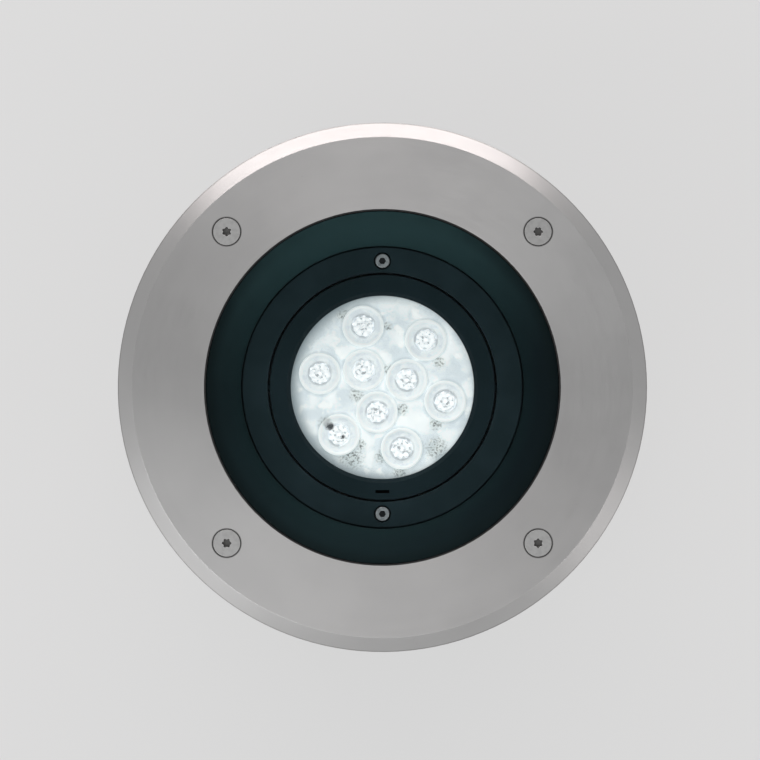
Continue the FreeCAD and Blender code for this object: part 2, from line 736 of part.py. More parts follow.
# Middle ring: its plate rests over the carrier's edge and its hub hangs inside it.
pan_ring = new_piece("pan_ring")
turn_profile(pan_ring, [
    (PAN_BORE_R, OPTIC_TOP + s.edge_bevel),
    (PAN_BORE_R + s.edge_bevel, OPTIC_TOP),
    (PLATE_R - s.edge_bevel, OPTIC_TOP),
    (PLATE_R, OPTIC_TOP + s.edge_bevel),
    (PLATE_R, PAN_PLATE_BOTTOM),
    (HUB_R, PAN_PLATE_BOTTOM),
    (HUB_R, OPTIC_TOP + s.hub_height),
    (PAN_BORE_R, OPTIC_TOP + s.hub_height)])
lock_seat = s.lock_head_recess + s.lock_head_t
head_pocket = layer(pan_ring, OPTIC_TOP, lock_seat, (), [
    ((0, LOCK_R), s.lock_head_d + s.lock_head_gap * 2)], cut=True)
lock_hole = layer(pan_ring, OPTIC_TOP + lock_seat, s.hub_height - lock_seat, (), [
    ((0, LOCK_R), s.lock_screw_d + s.lock_hole_gap)], cut=True)
around(pan_ring, [head_pocket, lock_hole], 2)
side_bore(pan_ring, 0, PLATE_R, PIVOT, s.pin_d)

# Lock screws: cap screws that pull the shoes up under the carrier.
pan_lock_screws = new_piece("pan_lock_screws")
lock_top = OPTIC_TOP + s.lock_head_recess
lock_seat_depth = OPTIC_TOP + lock_seat
lock_tip = SHOE_BOTTOM - s.ring_gap
turn_profile(pan_lock_screws, [
    (0, lock_top), (s.lock_head_d / 2 - s.edge_bevel, lock_top),
    (s.lock_head_d / 2, lock_top + s.edge_bevel), (s.lock_head_d / 2, lock_seat_depth),
    (s.lock_screw_d / 2, lock_seat_depth), (s.lock_screw_d / 2, lock_tip), (0, lock_tip)], (0, LOCK_R))
layer(pan_lock_screws, lock_top, s.socket_depth, [hexagon((0, LOCK_R), s.socket_w)], cut=True)
whole_around(pan_lock_screws, 2)

# Shoes: blocks under the carrier's edge, tapped for the lock screws. The front one has the stop finger.
shoe_in = PAN_BORE_R + s.shoe_reach
shoe_out = CARRIER_IN_R + s.shoe_reach
finger_out = shoe_out + s.finger_reach


def clamp_block(name, corners):
    shoe = new_piece(name)
    layer(shoe, SHOE_TOP, s.shoe_t, [corners])
    return shoe


clamp_shoe = clamp_block("clamp_shoe", rectangle(-s.shoe_w / 2, s.shoe_w / 2, shoe_in, shoe_out))
stop_shoe = clamp_block("stop_shoe", [
    (-s.shoe_w / 2, -shoe_out), (-s.finger_w / 2, -shoe_out), (-s.finger_w / 2, -finger_out),
    (s.finger_w / 2, -finger_out), (s.finger_w / 2, -shoe_out), (s.shoe_w / 2, -shoe_out),
    (s.shoe_w / 2, -shoe_in), (-s.shoe_w / 2, -shoe_in)])
for shoe, side in ((clamp_shoe, LOCK_R), (stop_shoe, -LOCK_R)):
    layer(shoe, SHOE_TOP, s.shoe_t, (), [((0, side), s.lock_screw_d + s.thread_gap * 2)], cut=True)

# Pivot pins: pressed into the hub from inside, they carry the light head.
pivot_pins = new_piece("pivot_pins")
pin_start = SINK_R + s.pin_end_gap
pin_sketch = new_sketch(pivot_pins, "YZ_Plane", (0, TOP - PIVOT, pin_start))
draw_circle(pin_sketch, (0, 0), s.pin_d)
raise_or_cut(pivot_pins, "PartDesign::Pad", pin_sketch, HUB_R - s.pin_recess - pin_start, False)
whole_mirrored(pivot_pins, "YZ_Plane")

# ---- The fixture, which stays still ----

# Carrier: the fixed plate that the middle ring turns in, screwed to four bosses of the housing.
carrier_ring = new_piece("carrier_ring")
hollow_disc(carrier_ring, CARRIER_R, CARRIER_IN_R, CARRIER_TOP, CARRIER_BOTTOM)
carrier_hole = layer(carrier_ring, CARRIER_TOP, s.carrier_t, (), [
    (CARRIER_SPOT, s.carrier_screw_d + s.lock_hole_gap)], cut=True)
around(carrier_ring, [carrier_hole], DIAGONAL_COUNT)
layer(carrier_ring, CARRIER_TOP, s.carrier_t, (), [((0, STOP_PIN_R), s.stop_pin_d)], cut=True)

carrier_screws = new_piece("carrier_screws")
pan_head_screw(carrier_screws, CARRIER_SPOT, CARRIER_TOP, s.pan_head_d, s.pan_head_t,
               s.carrier_screw_d, s.carrier_screw_length)
whole_around(carrier_screws, DIAGONAL_COUNT)

# Stop pin: pressed in the carrier, it meets the finger of the front shoe after nearly half a turn.
stop_pin = new_piece("stop_pin")
layer(stop_pin, CARRIER_TOP, s.stop_pin_length, (), [((0, STOP_PIN_R), s.stop_pin_d)])

# Shroud: a spun cone, black all over, held by its rim between the gasket and the housing's step.
shroud = new_piece("shroud")
slope = s.shroud_flare / (OPTIC_TOP - POCKET_FLOOR)
cone_back_r = smaller(WINDOW_R - (s.shroud_rim_t - s.shroud_t) * slope, BARREL_IN_R - s.shroud_seat_gap)
turn_profile(shroud, [
    (WINDOW_R, POCKET_FLOOR), (SHROUD_R, POCKET_FLOOR), (SHROUD_R, SHROUD_FLOOR), (cone_back_r, SHROUD_FLOOR),
    (SHROUD_IN_R, OPTIC_TOP + s.shroud_t), (SHROUD_IN_R, OPTIC_TOP)])

# Glass: a thick stepped disc, its top flush with the ring.
glass_lens = new_piece("glass_lens")
turn_profile(glass_lens, [
    (0, 0), (GLASS_R - s.glass_bevel, 0), (GLASS_R, s.glass_bevel), (GLASS_R, SHOULDER),
    (GLASS_FLANGE_R, SHOULDER), (GLASS_FLANGE_R, GLASS_BOTTOM), (0, GLASS_BOTTOM)])

# Gasket: silicone, round the flange of the glass, with a thin upstand that shows as a black line.
glass_gasket = new_piece("glass_gasket")
turn_profile(glass_gasket, [
    (GLASS_R, s.upstand_recess), (WINDOW_R, s.upstand_recess), (WINDOW_R, s.lip_t), (POCKET_R, s.lip_t),
    (POCKET_R, POCKET_FLOOR), (POCKET_R - s.gasket_seat_w, POCKET_FLOOR),
    (POCKET_R - s.gasket_seat_w, GLASS_BOTTOM), (GLASS_FLANGE_R, GLASS_BOTTOM), (GLASS_FLANGE_R, SHOULDER),
    (GLASS_R, SHOULDER)])

# Trim ring: turned stainless, with a lip over the glass and a bevelled rim that covers the sleeve.
trim_ring = new_piece("trim_ring")
turn_profile(trim_ring, [
    (WINDOW_R, 0), (RING_R - s.ring_bevel_w, 0), (RING_R, s.ring_bevel_t), (RING_R, s.ring_t),
    (RELIEF_R, s.ring_t), (RELIEF_R, s.ring_seat_t), (POCKET_R, s.ring_seat_t), (POCKET_R, s.lip_t),
    (WINDOW_R, s.lip_t)])
head_r = s.trim_head_d / 2
head_edge = s.head_recess + s.trim_head_land
hole_r = s.trim_screw_d / 2 + s.screw_hole_gap
seat_start = head_edge + s.head_seat_gap
retainer_recess = s.retainer_t + s.screw_hole_gap
screw_hole = turn_profile(trim_ring, [
    (0, 0), (head_r + s.head_side_gap, 0), (head_r + s.head_side_gap, seat_start), (head_r, seat_start),
    (hole_r, seat_start + head_r - hole_r), (hole_r, s.ring_seat_t), (0, s.ring_seat_t)],
    SCREW_SPOT, cut=True)
retainer_pocket = layer(trim_ring, s.ring_seat_t - retainer_recess, retainer_recess, (), [
    (SCREW_SPOT, s.retainer_d + s.retainer_gap * 2)], cut=True)
around(trim_ring, [screw_hole, retainer_pocket], DIAGONAL_COUNT)

# Trim screws: flush countersunk screws with a six-lobed recess.
trim_screws = new_piece("trim_screws")
shank_r = s.trim_screw_d / 2
tip_bevel = s.trim_screw_d * TIP_BEVEL_SHARE
turn_profile(trim_screws, [
    (0, s.head_recess), (head_r, s.head_recess), (head_r, head_edge), (shank_r, head_edge + head_r - shank_r),
    (shank_r, s.trim_screw_length - tip_bevel), (shank_r - tip_bevel, s.trim_screw_length),
    (0, s.trim_screw_length)], SCREW_SPOT)
layer(trim_screws, s.head_recess, s.star_depth, (), [(SCREW_SPOT, s.star_core_d)], cut=True)
star_sketch = new_sketch(trim_screws, "XY_Plane", (*SCREW_SPOT, TOP - s.head_recess))
draw_circle(star_sketch, (s.star_reach, 0), s.star_lobe_d)
lobe = raise_or_cut(trim_screws, "PartDesign::Pocket", star_sketch, s.star_depth, False)
around(trim_screws, [lobe], 6, (star_sketch, ["N_Axis"]))
whole_around(trim_screws, DIAGONAL_COUNT)

screw_retainers = new_piece("screw_retainers")
layer(screw_retainers, s.ring_seat_t - s.retainer_t, s.retainer_t, (), [
    (SCREW_SPOT, s.retainer_d), (SCREW_SPOT, s.trim_screw_d + s.thread_gap * 2)])
whole_around(screw_retainers, DIAGONAL_COUNT)

# Housing: a die-cast cup. Its flange carries ring and glass, its barrel is finned, and its floor holds the
# glands.
housing = new_piece("housing")
turn_profile(housing, [
    (POCKET_R, s.ring_seat_t), (FLANGE_R, s.ring_seat_t), (FLANGE_R, FLANGE_BOTTOM),
    (NECK_R, FLANGE_BOTTOM), (NECK_R, s.neck_depth), (BARREL_R, s.neck_depth + s.neck_slope),
    (BARREL_R, FLOOR_BOTTOM),
    (0, FLOOR_BOTTOM), (0, FLOOR_TOP), (BARREL_IN_R, FLOOR_TOP), (BARREL_IN_R, SHROUD_FLOOR),
    (SHROUD_SEAT_R, SHROUD_FLOOR), (SHROUD_SEAT_R, POCKET_FLOOR), (POCKET_R, POCKET_FLOOR)])
cooling_fin = layer(housing, s.cooling_fin_top, FLOOR_BOTTOM - s.cooling_fin_top, [
    rectangle(BARREL_R - s.barrel_wall / 2, COOLING_FIN_R, -s.cooling_fin_t / 2, s.cooling_fin_t / 2)])
around(housing, [cooling_fin], s.cooling_fin_count)
boss_in = CARRIER_SCREW_R - s.carrier_boss_r
carrier_boss = layer(housing, CARRIER_BOTTOM, s.carrier_boss_height, [[
    (boss_in, -s.carrier_boss_r, s.carrier_boss_r * CORNER_SHARE),
    (BARREL_IN_R + s.barrel_wall / 2, -s.carrier_boss_r),
    (BARREL_IN_R + s.barrel_wall / 2, s.carrier_boss_r),
    (boss_in, s.carrier_boss_r, s.carrier_boss_r * CORNER_SHARE)]], turn=DIAGONAL)
carrier_thread = layer(housing, CARRIER_BOTTOM, s.carrier_screw_length, (), [
    (CARRIER_SPOT, s.carrier_screw_d + s.thread_gap * 2)], cut=True)
flange_hole = layer(housing, s.ring_seat_t, s.flange_t, (), [
    (SCREW_SPOT, hole_r * 2)], cut=True)
around(housing, [carrier_boss, carrier_thread, flange_hole], DIAGONAL_COUNT)
post_spots = four_spots(s.post_x, s.post_y)
layer(housing, FLOOR_TOP - s.floor_boss_height, s.floor_boss_height + s.floor_t / 2, (), [
    (spot, s.floor_boss_d) for spot in post_spots])
post_thread_depth = s.floor_boss_height + s.floor_t / 2
layer(housing, FLOOR_TOP - s.floor_boss_height, post_thread_depth, (), [
    (spot, s.post_screw_d + s.thread_gap * 2) for spot in post_spots], cut=True)
gland_spot = (s.gland_x, -s.gland_y)
layer(housing, FLOOR_TOP, s.floor_t, (), [
    (gland_spot, s.gland_thread_d + s.gland_hole_gap * 2),
    ((-s.gland_x, -s.gland_y), s.gland_thread_d + s.gland_hole_gap * 2),
    ((0, s.vent_y), s.vent_thread_d + s.gland_hole_gap * 2)], cut=True)

# Standoffs: turned posts with a stud below and a tapped end above.
tray_standoffs = new_piece("tray_standoffs")
post_spot = (s.post_x, s.post_y)
stud_r = s.post_screw_d / 2
post_foot = FLOOR_TOP - s.floor_boss_height
stud_end = post_foot + post_thread_depth - s.thread_gap
turn_profile(tray_standoffs, [
    (0, TRAY_BOTTOM), (s.post_d / 2, TRAY_BOTTOM), (s.post_d / 2, post_foot), (stud_r, post_foot),
    (stud_r, stud_end), (0, stud_end)], post_spot)
layer(tray_standoffs, TRAY_BOTTOM, s.post_screw_length, (), [
    (post_spot, s.post_screw_d + s.thread_gap * 2)], cut=True)
four_corners(tray_standoffs)

# Gear tray: a steel plate with a notch for the cables that come up from the glands.
gear_tray = new_piece("gear_tray")
tray_r = BARREL_IN_R - s.tray_edge
layer(gear_tray, TRAY_TOP, s.tray_t, (), [((0, 0), tray_r * 2)])
notch_in = tray_r - s.tray_notch_depth
layer(gear_tray, TRAY_TOP, s.tray_t, [rectangle(
    -s.tray_notch_w / 2, s.tray_notch_w / 2, -tray_r - s.tray_edge, -notch_in)], cut=True)
driver_screw_x = s.driver_length / 2 + s.driver_lug_reach / 2
earth_spot = (-s.earth_x, -s.earth_y)
layer(gear_tray, TRAY_TOP, s.tray_t, (), [
    *[(spot, s.post_screw_d + s.lock_hole_gap) for spot in post_spots],
    ((driver_screw_x, 0), s.post_screw_d + s.lock_hole_gap),
    ((-driver_screw_x, 0), s.post_screw_d + s.lock_hole_gap),
    (earth_spot, s.earth_screw_d + s.thread_gap * 2)], cut=True)

tray_screws = new_piece("tray_screws")
pan_head_screw(tray_screws, post_spot, TRAY_TOP, s.pan_head_d, s.pan_head_t,
               s.post_screw_d, s.post_screw_length)
four_corners(tray_screws)

# Driver: a potted supply in a moulded case, hung below the tray by a lug at each end.
led_driver = new_piece("led_driver")
layer(led_driver, TRAY_BOTTOM, s.driver_height, [rectangle(
    -s.driver_length / 2, s.driver_length / 2, -s.driver_w / 2, s.driver_w / 2, s.driver_corner)])
lug_end = s.driver_length / 2 + s.driver_lug_reach
layer(led_driver, TRAY_BOTTOM, s.driver_lug_t, [rectangle(
    -lug_end, lug_end, -s.driver_lug_w / 2, s.driver_lug_w / 2)])
layer(led_driver, TRAY_BOTTOM, s.driver_lug_t, (), [
    ((driver_screw_x, 0), s.post_screw_d + s.thread_gap * 2),
    ((-driver_screw_x, 0), s.post_screw_d + s.thread_gap * 2)], cut=True)

driver_screws = new_piece("driver_screws")
pan_head_screw(driver_screws, (driver_screw_x, 0), TRAY_TOP, s.pan_head_d, s.pan_head_t,
               s.post_screw_d, s.driver_screw_length)
whole_mirrored(driver_screws, "YZ_Plane")

# Terminal block: three poles, with a wire hole through each and two clamp screws over it.
terminal_block = new_piece("terminal_block")
block_top = TRAY_TOP - s.terminal_height
low_y = s.terminal_y - s.terminal_w / 2
poles = [s.terminal_pitch * step for step in (-1, 0, 1)]
layer(terminal_block, block_top, s.terminal_height, [rectangle(
    -s.terminal_length / 2, s.terminal_length / 2, low_y, low_y + s.terminal_w)])
wire_sketch = new_sketch(terminal_block, "XZ_Plane", (0, TOP - TRAY_TOP + s.wire_hole_height, -low_y))
for x in poles:
    draw_circle(wire_sketch, (x, 0), s.wire_hole_d)
raise_or_cut(terminal_block, "PartDesign::Pocket", wire_sketch, s.terminal_w, False)
clamp_rows = [s.terminal_y - s.clamp_screw_offset, s.terminal_y + s.clamp_screw_offset]
clamp_spots = [(x, y) for x in poles for y in clamp_rows]
layer(terminal_block, block_top, s.clamp_screw_length + s.edge_bevel, (), [
    (spot, s.clamp_screw_d + s.thread_gap * 2) for spot in clamp_spots], cut=True)
terminal_clamps = new_piece("terminal_clamps")
layer(terminal_clamps, block_top + s.edge_bevel, s.clamp_screw_length, (), [
    (spot, s.clamp_screw_d) for spot in clamp_spots])

# Earth point: a screw and a washer on the tray.
earth_washer = new_piece("earth_washer")
layer(earth_washer, TRAY_TOP - s.earth_washer_t, s.earth_washer_t, (), [
    (earth_spot, s.earth_washer_d), (earth_spot, s.earth_screw_d + s.thread_gap * 2)])
earth_screw = new_piece("earth_screw")
pan_head_screw(earth_screw, earth_spot, TRAY_TOP - s.earth_washer_t, s.earth_head_d, s.earth_head_t,
               s.earth_screw_d, s.earth_washer_t + s.tray_t - s.thread_gap)

# Glands: each has a threaded body through the floor, a seal round the cable and a domed cap.
seal_r = s.cable_d / 2
neck_in_r = s.gland_thread_d / 2 - s.gland_wall
seal_top = GLAND_HEX_BOTTOM - s.gland_hex_t / 2
neck_end = GLAND_HEX_BOTTOM + s.gland_neck_length
seal_bottom = seal_top + s.seal_length
gland_bodies = new_piece("gland_bodies")
thread_top = FLOOR_BOTTOM - s.gland_thread_length
bore_r = seal_r + s.gland_mouth_gap
turn_profile(gland_bodies, [
    (bore_r, thread_top), (s.gland_thread_d / 2, thread_top), (s.gland_thread_d / 2, GLAND_HEX_TOP),
    (s.gland_thread_d / 2, neck_end), (neck_in_r, neck_end), (neck_in_r, seal_top), (bore_r, seal_top)],
    gland_spot)
gland_hex_sketch = new_sketch(gland_bodies, "XY_Plane", (0, 0, TOP - GLAND_HEX_TOP))
draw_outline(gland_hex_sketch, hexagon(gland_spot, s.gland_hex_w))
draw_circle(gland_hex_sketch, gland_spot, s.gland_thread_d - s.gland_wall)
raise_or_cut(gland_bodies, "PartDesign::Pad", gland_hex_sketch, s.gland_hex_t, True)
whole_mirrored(gland_bodies, "YZ_Plane")

gland_orings = new_piece("gland_orings")
turn_profile(gland_orings, [
    (s.gland_thread_d / 2, FLOOR_BOTTOM), (s.gland_thread_d / 2 + s.oring_w, FLOOR_BOTTOM),
    (s.gland_thread_d / 2 + s.oring_w, GLAND_HEX_TOP), (s.gland_thread_d / 2, GLAND_HEX_TOP)], gland_spot)
whole_mirrored(gland_orings, "YZ_Plane")

gland_seals = new_piece("gland_seals")
turn_profile(gland_seals, [
    (seal_r, seal_top), (neck_in_r, seal_top), (neck_in_r, seal_bottom), (seal_r, seal_bottom)], gland_spot)
whole_mirrored(gland_seals, "YZ_Plane")

gland_caps = new_piece("gland_caps")
cap_in_r = s.gland_thread_d / 2 + s.thread_gap
cap_end_r = s.gland_hex_w / 2
dome_top = GLAND_BOTTOM - smaller(s.gland_dome_height, GLAND_BOTTOM - neck_end)
layer(gland_caps, GLAND_CAP_TOP, dome_top - GLAND_CAP_TOP, [hexagon(gland_spot, s.gland_hex_w)])
turn_profile(gland_caps, [
    (0, dome_top), (cap_end_r, dome_top),
    (cap_end_r, GLAND_BOTTOM, (GLAND_BOTTOM - dome_top) * CORNER_SHARE), (0, GLAND_BOTTOM)], gland_spot)
layer(gland_caps, GLAND_CAP_TOP, neck_end + s.ring_gap - GLAND_CAP_TOP, (), [
    (gland_spot, cap_in_r * 2)], cut=True)
seal_room = larger(seal_bottom + s.thread_gap, neck_end + s.ring_gap)
layer(gland_caps, neck_end, seal_room - neck_end, (), [
    (gland_spot, (neck_in_r + s.thread_gap) * 2)], cut=True)
layer(gland_caps, GLAND_CAP_TOP, s.gland_cap_length, (), [(gland_spot, bore_r * 2)], cut=True)
whole_mirrored(gland_caps, "YZ_Plane")

gland_locknuts = new_piece("gland_locknuts")
layer(gland_locknuts, FLOOR_TOP - s.locknut_t, s.locknut_t, [hexagon(gland_spot, s.gland_hex_w)], [
    (gland_spot, s.gland_thread_d + s.thread_gap * 2)])
whole_mirrored(gland_locknuts, "YZ_Plane")

# Vent: a breather plug that lets the housing equalise without taking in water.
pressure_vent = new_piece("pressure_vent")
vent_spot = (0, s.vent_y)
vent_r = s.vent_thread_d / 2
turn_profile(pressure_vent, [
    (s.vent_hole_d / 2, FLOOR_BOTTOM - s.vent_thread_length), (vent_r, FLOOR_BOTTOM - s.vent_thread_length),
    (vent_r, FLOOR_BOTTOM), (s.vent_cap_d / 2, FLOOR_BOTTOM),
    (s.vent_cap_d / 2, FLOOR_BOTTOM + s.vent_cap_t - s.vent_bevel),
    (s.vent_cap_d / 2 - s.vent_bevel, FLOOR_BOTTOM + s.vent_cap_t),
    (0, FLOOR_BOTTOM + s.vent_cap_t), (0, FLOOR_BOTTOM + s.vent_cap_t / 2),
    (s.vent_hole_d / 2, FLOOR_BOTTOM + s.vent_cap_t / 2)], vent_spot)

# Sleeve: the moulded pot that stays in the ground. Open below, with a ledge, screw bosses, ribs and a foot.
recess_sleeve = new_piece("recess_sleeve")
sleeve_top = s.ring_seat_t + s.sleeve_drop
collar_bottom = s.collar_relief_depth + s.collar_length
foot_top = TOP - s.foot_t
foot_r = SLEEVE_R + s.foot_reach
turn_profile(recess_sleeve, [
    (COLLAR_IN_R, sleeve_top), (COLLAR_R - s.collar_relief, sleeve_top),
    (COLLAR_R - s.collar_relief, s.collar_relief_depth), (COLLAR_R, s.collar_relief_depth),
    (COLLAR_R, collar_bottom), (SLEEVE_R, collar_bottom), (SLEEVE_R, foot_top), (foot_r, foot_top),
    (foot_r, TOP), (SLEEVE_IN_R - s.foot_inset, TOP), (SLEEVE_IN_R - s.foot_inset, foot_top),
    (SLEEVE_IN_R, foot_top), (SLEEVE_IN_R, FLANGE_BOTTOM), (COLLAR_IN_R, FLANGE_BOTTOM)])
rib = layer(recess_sleeve, collar_bottom, foot_top - collar_bottom, [rectangle(
    SLEEVE_R - s.sleeve_wall / 2, SLEEVE_R + s.rib_reach, -s.rib_t / 2, s.rib_t / 2)],
    turn=180 / SIZES["rib_count"])
around(recess_sleeve, [rib], s.rib_count)
boss_end = SLEEVE_R - s.sleeve_wall / 2
sleeve_boss = layer(recess_sleeve, FLANGE_BOTTOM, s.boss_height, [[
    (SCREW_R - s.boss_r, -s.boss_r, s.boss_r * CORNER_SHARE), (boss_end, -s.boss_r), (boss_end, s.boss_r),
    (SCREW_R - s.boss_r, s.boss_r, s.boss_r * CORNER_SHARE)]], turn=DIAGONAL)
insert_r = s.trim_screw_d / 2 + s.thread_gap + s.insert_wall
boss_hole = layer(recess_sleeve, FLANGE_BOTTOM, s.insert_length, (), [(SCREW_SPOT, insert_r * 2)], cut=True)
around(recess_sleeve, [sleeve_boss, boss_hole], DIAGONAL_COUNT)
notch_sketch = new_sketch(recess_sleeve, "YZ_Plane", (0, 0, 0))
notch_corner = s.notch_w / 2 * CORNER_SHARE
draw_outline(notch_sketch, [
    (-s.notch_w / 2, -s.foot_t), (s.notch_w / 2, -s.foot_t), (s.notch_w / 2, s.notch_height, notch_corner),
    (-s.notch_w / 2, s.notch_height, notch_corner)])
notch = raise_or_cut(recess_sleeve, "PartDesign::Pocket", notch_sketch, COLLAR_R * 2, False)
notch.Midplane = True

threaded_inserts = new_piece("threaded_inserts")
layer(threaded_inserts, FLANGE_BOTTOM, s.insert_length, (), [
    (SCREW_SPOT, insert_r * 2), (SCREW_SPOT, s.trim_screw_d + s.thread_gap * 2)])
whole_around(threaded_inserts, DIAGONAL_COUNT)

document.recompute()
for thing in document.Objects:
    if "Invalid" in thing.State or "Error" in thing.State:
        raise ValueError(f"{thing.Label} failed: {thing.State}")
for body in pieces:
    if body.Shape.isNull() or not body.Shape.isValid() or not body.Shape.Solids:
        raise ValueError(f"{body.Label} is not a valid solid")

os.makedirs("parts", exist_ok=True)
for body in pieces:
    body.Shape.exportStep(f"parts/{body.Label}.step")
    print(f"{body.Label}: {len(body.Shape.Solids)} solids, {body.Shape.Volume / 1000:.2f} cm3")
print(f"overall height {TOP.value:.2f}, ring diameter {RING_R.value * 2:.2f}")
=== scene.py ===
import math

import bmesh
import bpy
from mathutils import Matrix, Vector, noise


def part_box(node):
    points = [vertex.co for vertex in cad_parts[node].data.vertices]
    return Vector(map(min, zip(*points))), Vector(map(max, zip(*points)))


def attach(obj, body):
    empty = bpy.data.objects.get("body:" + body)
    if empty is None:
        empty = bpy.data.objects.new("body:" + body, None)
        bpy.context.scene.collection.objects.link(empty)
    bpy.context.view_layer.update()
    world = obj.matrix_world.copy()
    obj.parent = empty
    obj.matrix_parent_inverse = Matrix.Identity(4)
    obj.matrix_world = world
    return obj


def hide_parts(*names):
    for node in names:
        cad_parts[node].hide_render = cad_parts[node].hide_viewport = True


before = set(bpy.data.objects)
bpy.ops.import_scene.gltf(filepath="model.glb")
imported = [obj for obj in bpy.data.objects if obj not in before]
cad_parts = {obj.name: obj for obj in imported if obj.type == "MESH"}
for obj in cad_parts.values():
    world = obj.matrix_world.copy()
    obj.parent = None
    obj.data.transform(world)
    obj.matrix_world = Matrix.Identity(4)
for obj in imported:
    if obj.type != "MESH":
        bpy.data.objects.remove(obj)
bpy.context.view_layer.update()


# Recess sleeve: the pot that stays in the ground, injection moulded in black glass-filled polypropylene.
# Its ribs and foot key it into the concrete. Concrete dust stays in its spark-eroded texture, and the
# corners are scuffed grey.
class Wire:
    """An output of one of a finish's nodes. Arithmetic on it adds Math nodes."""

    def __init__(self, finish, socket):
        self.finish = finish
        self.socket = socket

    def sum(self, operation, one, other):
        return self.finish.node("Math", {"operation": operation}, {0: one, 1: other})

    def __add__(self, other):
        return self.sum("ADD", self, other)

    __radd__ = __add__

    def __sub__(self, other):
        return self.sum("SUBTRACT", self, other)

    def __rsub__(self, other):
        return self.sum("SUBTRACT", other, self)

    def __mul__(self, other):
        return self.sum("MULTIPLY", self, other)

    __rmul__ = __mul__


class Finish:
    """The finish of one kind of piece. Lengths in it are metres on the piece."""

    def __init__(self, name, owner=None):
        self.owner = owner or bpy.data.materials.new(name)
        self.owner.use_nodes = True
        self.tree = self.owner.node_tree
        self.tree.nodes.clear()

    def node(self, kind, settings, inputs, output=0):
        """Adds a shader node: its settings first, then the values or wires of its sockets."""
        made = self.tree.nodes.new("ShaderNode" + kind)
        for name, value in settings.items():
            setattr(made, name, value)
        for name, value in inputs.items():
            socket = made.inputs[name]
            if isinstance(value, Wire):
                self.tree.links.new(value.socket, socket)
            elif socket.type == "RGBA":
                socket.default_value = (*value, 1)
            else:
                socket.default_value = value
        return Wire(self, made.outputs[output]) if made.outputs else None

    def place(self):
        """The place on the piece, measured from the light's axis, and on a lens from the lens's own."""
        return self.node("TexCoord", {}, {}, "Object")

    def axis(self, number, place=None):
        return self.node("SeparateXYZ", {}, {0: place or self.place()}, number)

    def away(self, place, spot=(0, 0)):
        """The distance from an upright line through that spot."""
        level = self.node("VectorMath", {"operation": "MULTIPLY"}, {0: place, 1: (1, 1, 0)})
        return self.node("VectorMath", {"operation": "DISTANCE"}, {0: level, 1: (*spot, 0)}, "Value")

    def grain(self, size, detail=3, place=None, stretch=None):
        """Soft noise of spots that are size across, from about 0.3 to 0.7."""
        place = place or self.place()
        if stretch:
            place = self.node("VectorMath", {"operation": "MULTIPLY"}, {0: place, 1: stretch})
        return self.node("TexNoise", {}, {"Vector": place, "Scale": 1 / size, "Detail": detail})

    def between(self, value, low, high):
        """0 up to low, 1 from high on, and a soft change between them."""
        return self.node("MapRange", {"interpolation_type": "SMOOTHSTEP"}, {0: value, 1: low, 2: high})

    def mix(self, share, one, other):
        return self.node("Mix", {"data_type": "RGBA"}, {0: share, 6: one, 7: other}, 2)

    def rounded(self, radius):
        """The surface's direction as if each edge were rounded to that radius."""
        return self.node("Bevel", {"samples": 4}, {"Radius": radius})

    def edges(self, radius):
        """1 along sharp edges, where handling wears them, and 0 on flats."""
        flat = self.node("NewGeometry", {}, {}, "Normal")
        both = {0: self.rounded(radius), 1: flat}
        turned = self.node("VectorMath", {"operation": "DOT_PRODUCT"}, both, "Value")
        return self.between(1 - turned, 0.01, 0.16)

    def relief(self, height, depth, radius=0.0003):
        """The direction of a surface whose height field is depth deep, with edges of that radius."""
        return self.node("Bump", {}, {"Height": height, "Distance": depth, "Normal": self.rounded(radius)})

    def skin(self, colour, rough, normal, fixed, changing=None):
        """The surface shader. fixed holds values that are the same all over, changing holds wires."""
        inputs = {"Base Color": colour, "Roughness": rough, "Normal": normal}
        inputs.update(fixed)
        inputs.update(changing or {})
        return self.node("BsdfPrincipled", {}, inputs)

    def show(self, shader):
        self.node("OutputMaterial", {}, {"Surface": shader})
        return self


def dress(finish, *names):
    """Gives CAD pieces their finish."""
    for name in names:
        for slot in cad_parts[name].material_slots:
            slot.material = finish.owner


def shade(colour, share):
    """The same colour, darker or lighter by that share."""
    return tuple(part * share for part in colour)


def moulded(name, colour, worn, rough, texture=0.0006):
    """A moulded plastic: a fine eroded texture, flow marks, and pale scuffs along the edges."""
    finish = Finish(name)
    pores = finish.grain(texture, 2)
    flow = finish.grain(0.045, 4, stretch=(1, 1, 0.4))
    scratches = finish.between(finish.grain(0.002, 5, stretch=(1, 1, 0.12)), 0.62, 0.74)
    scuffs = finish.edges(0.0009) * finish.between(finish.grain(0.006, 5), 0.38, 0.6)
    dust = finish.between(finish.grain(0.011, 8), 0.44, 0.8)
    tone = finish.mix(flow, shade(colour, 0.72), shade(colour, 1.25))
    tone = finish.mix(dust * 0.22 + scratches * 0.2, tone, worn)
    tone = finish.mix(scuffs * 0.55, tone, worn)
    roughness = rough - 0.08 + flow * 0.14 + dust * 0.12 - scuffs * 0.08
    normal = finish.relief(pores + scratches * 0.6, depth=0.00002)
    return finish.show(finish.skin(tone, roughness, normal, {"Specular IOR Level": 0.45}))


SLEEVE_BLACK = (0.020, 0.0205, 0.021)
SLEEVE_SCUFF = (0.105, 0.102, 0.096)
dress(moulded("sleeve_black", SLEEVE_BLACK, SLEEVE_SCUFF, rough=0.6), "recess_sleeve")


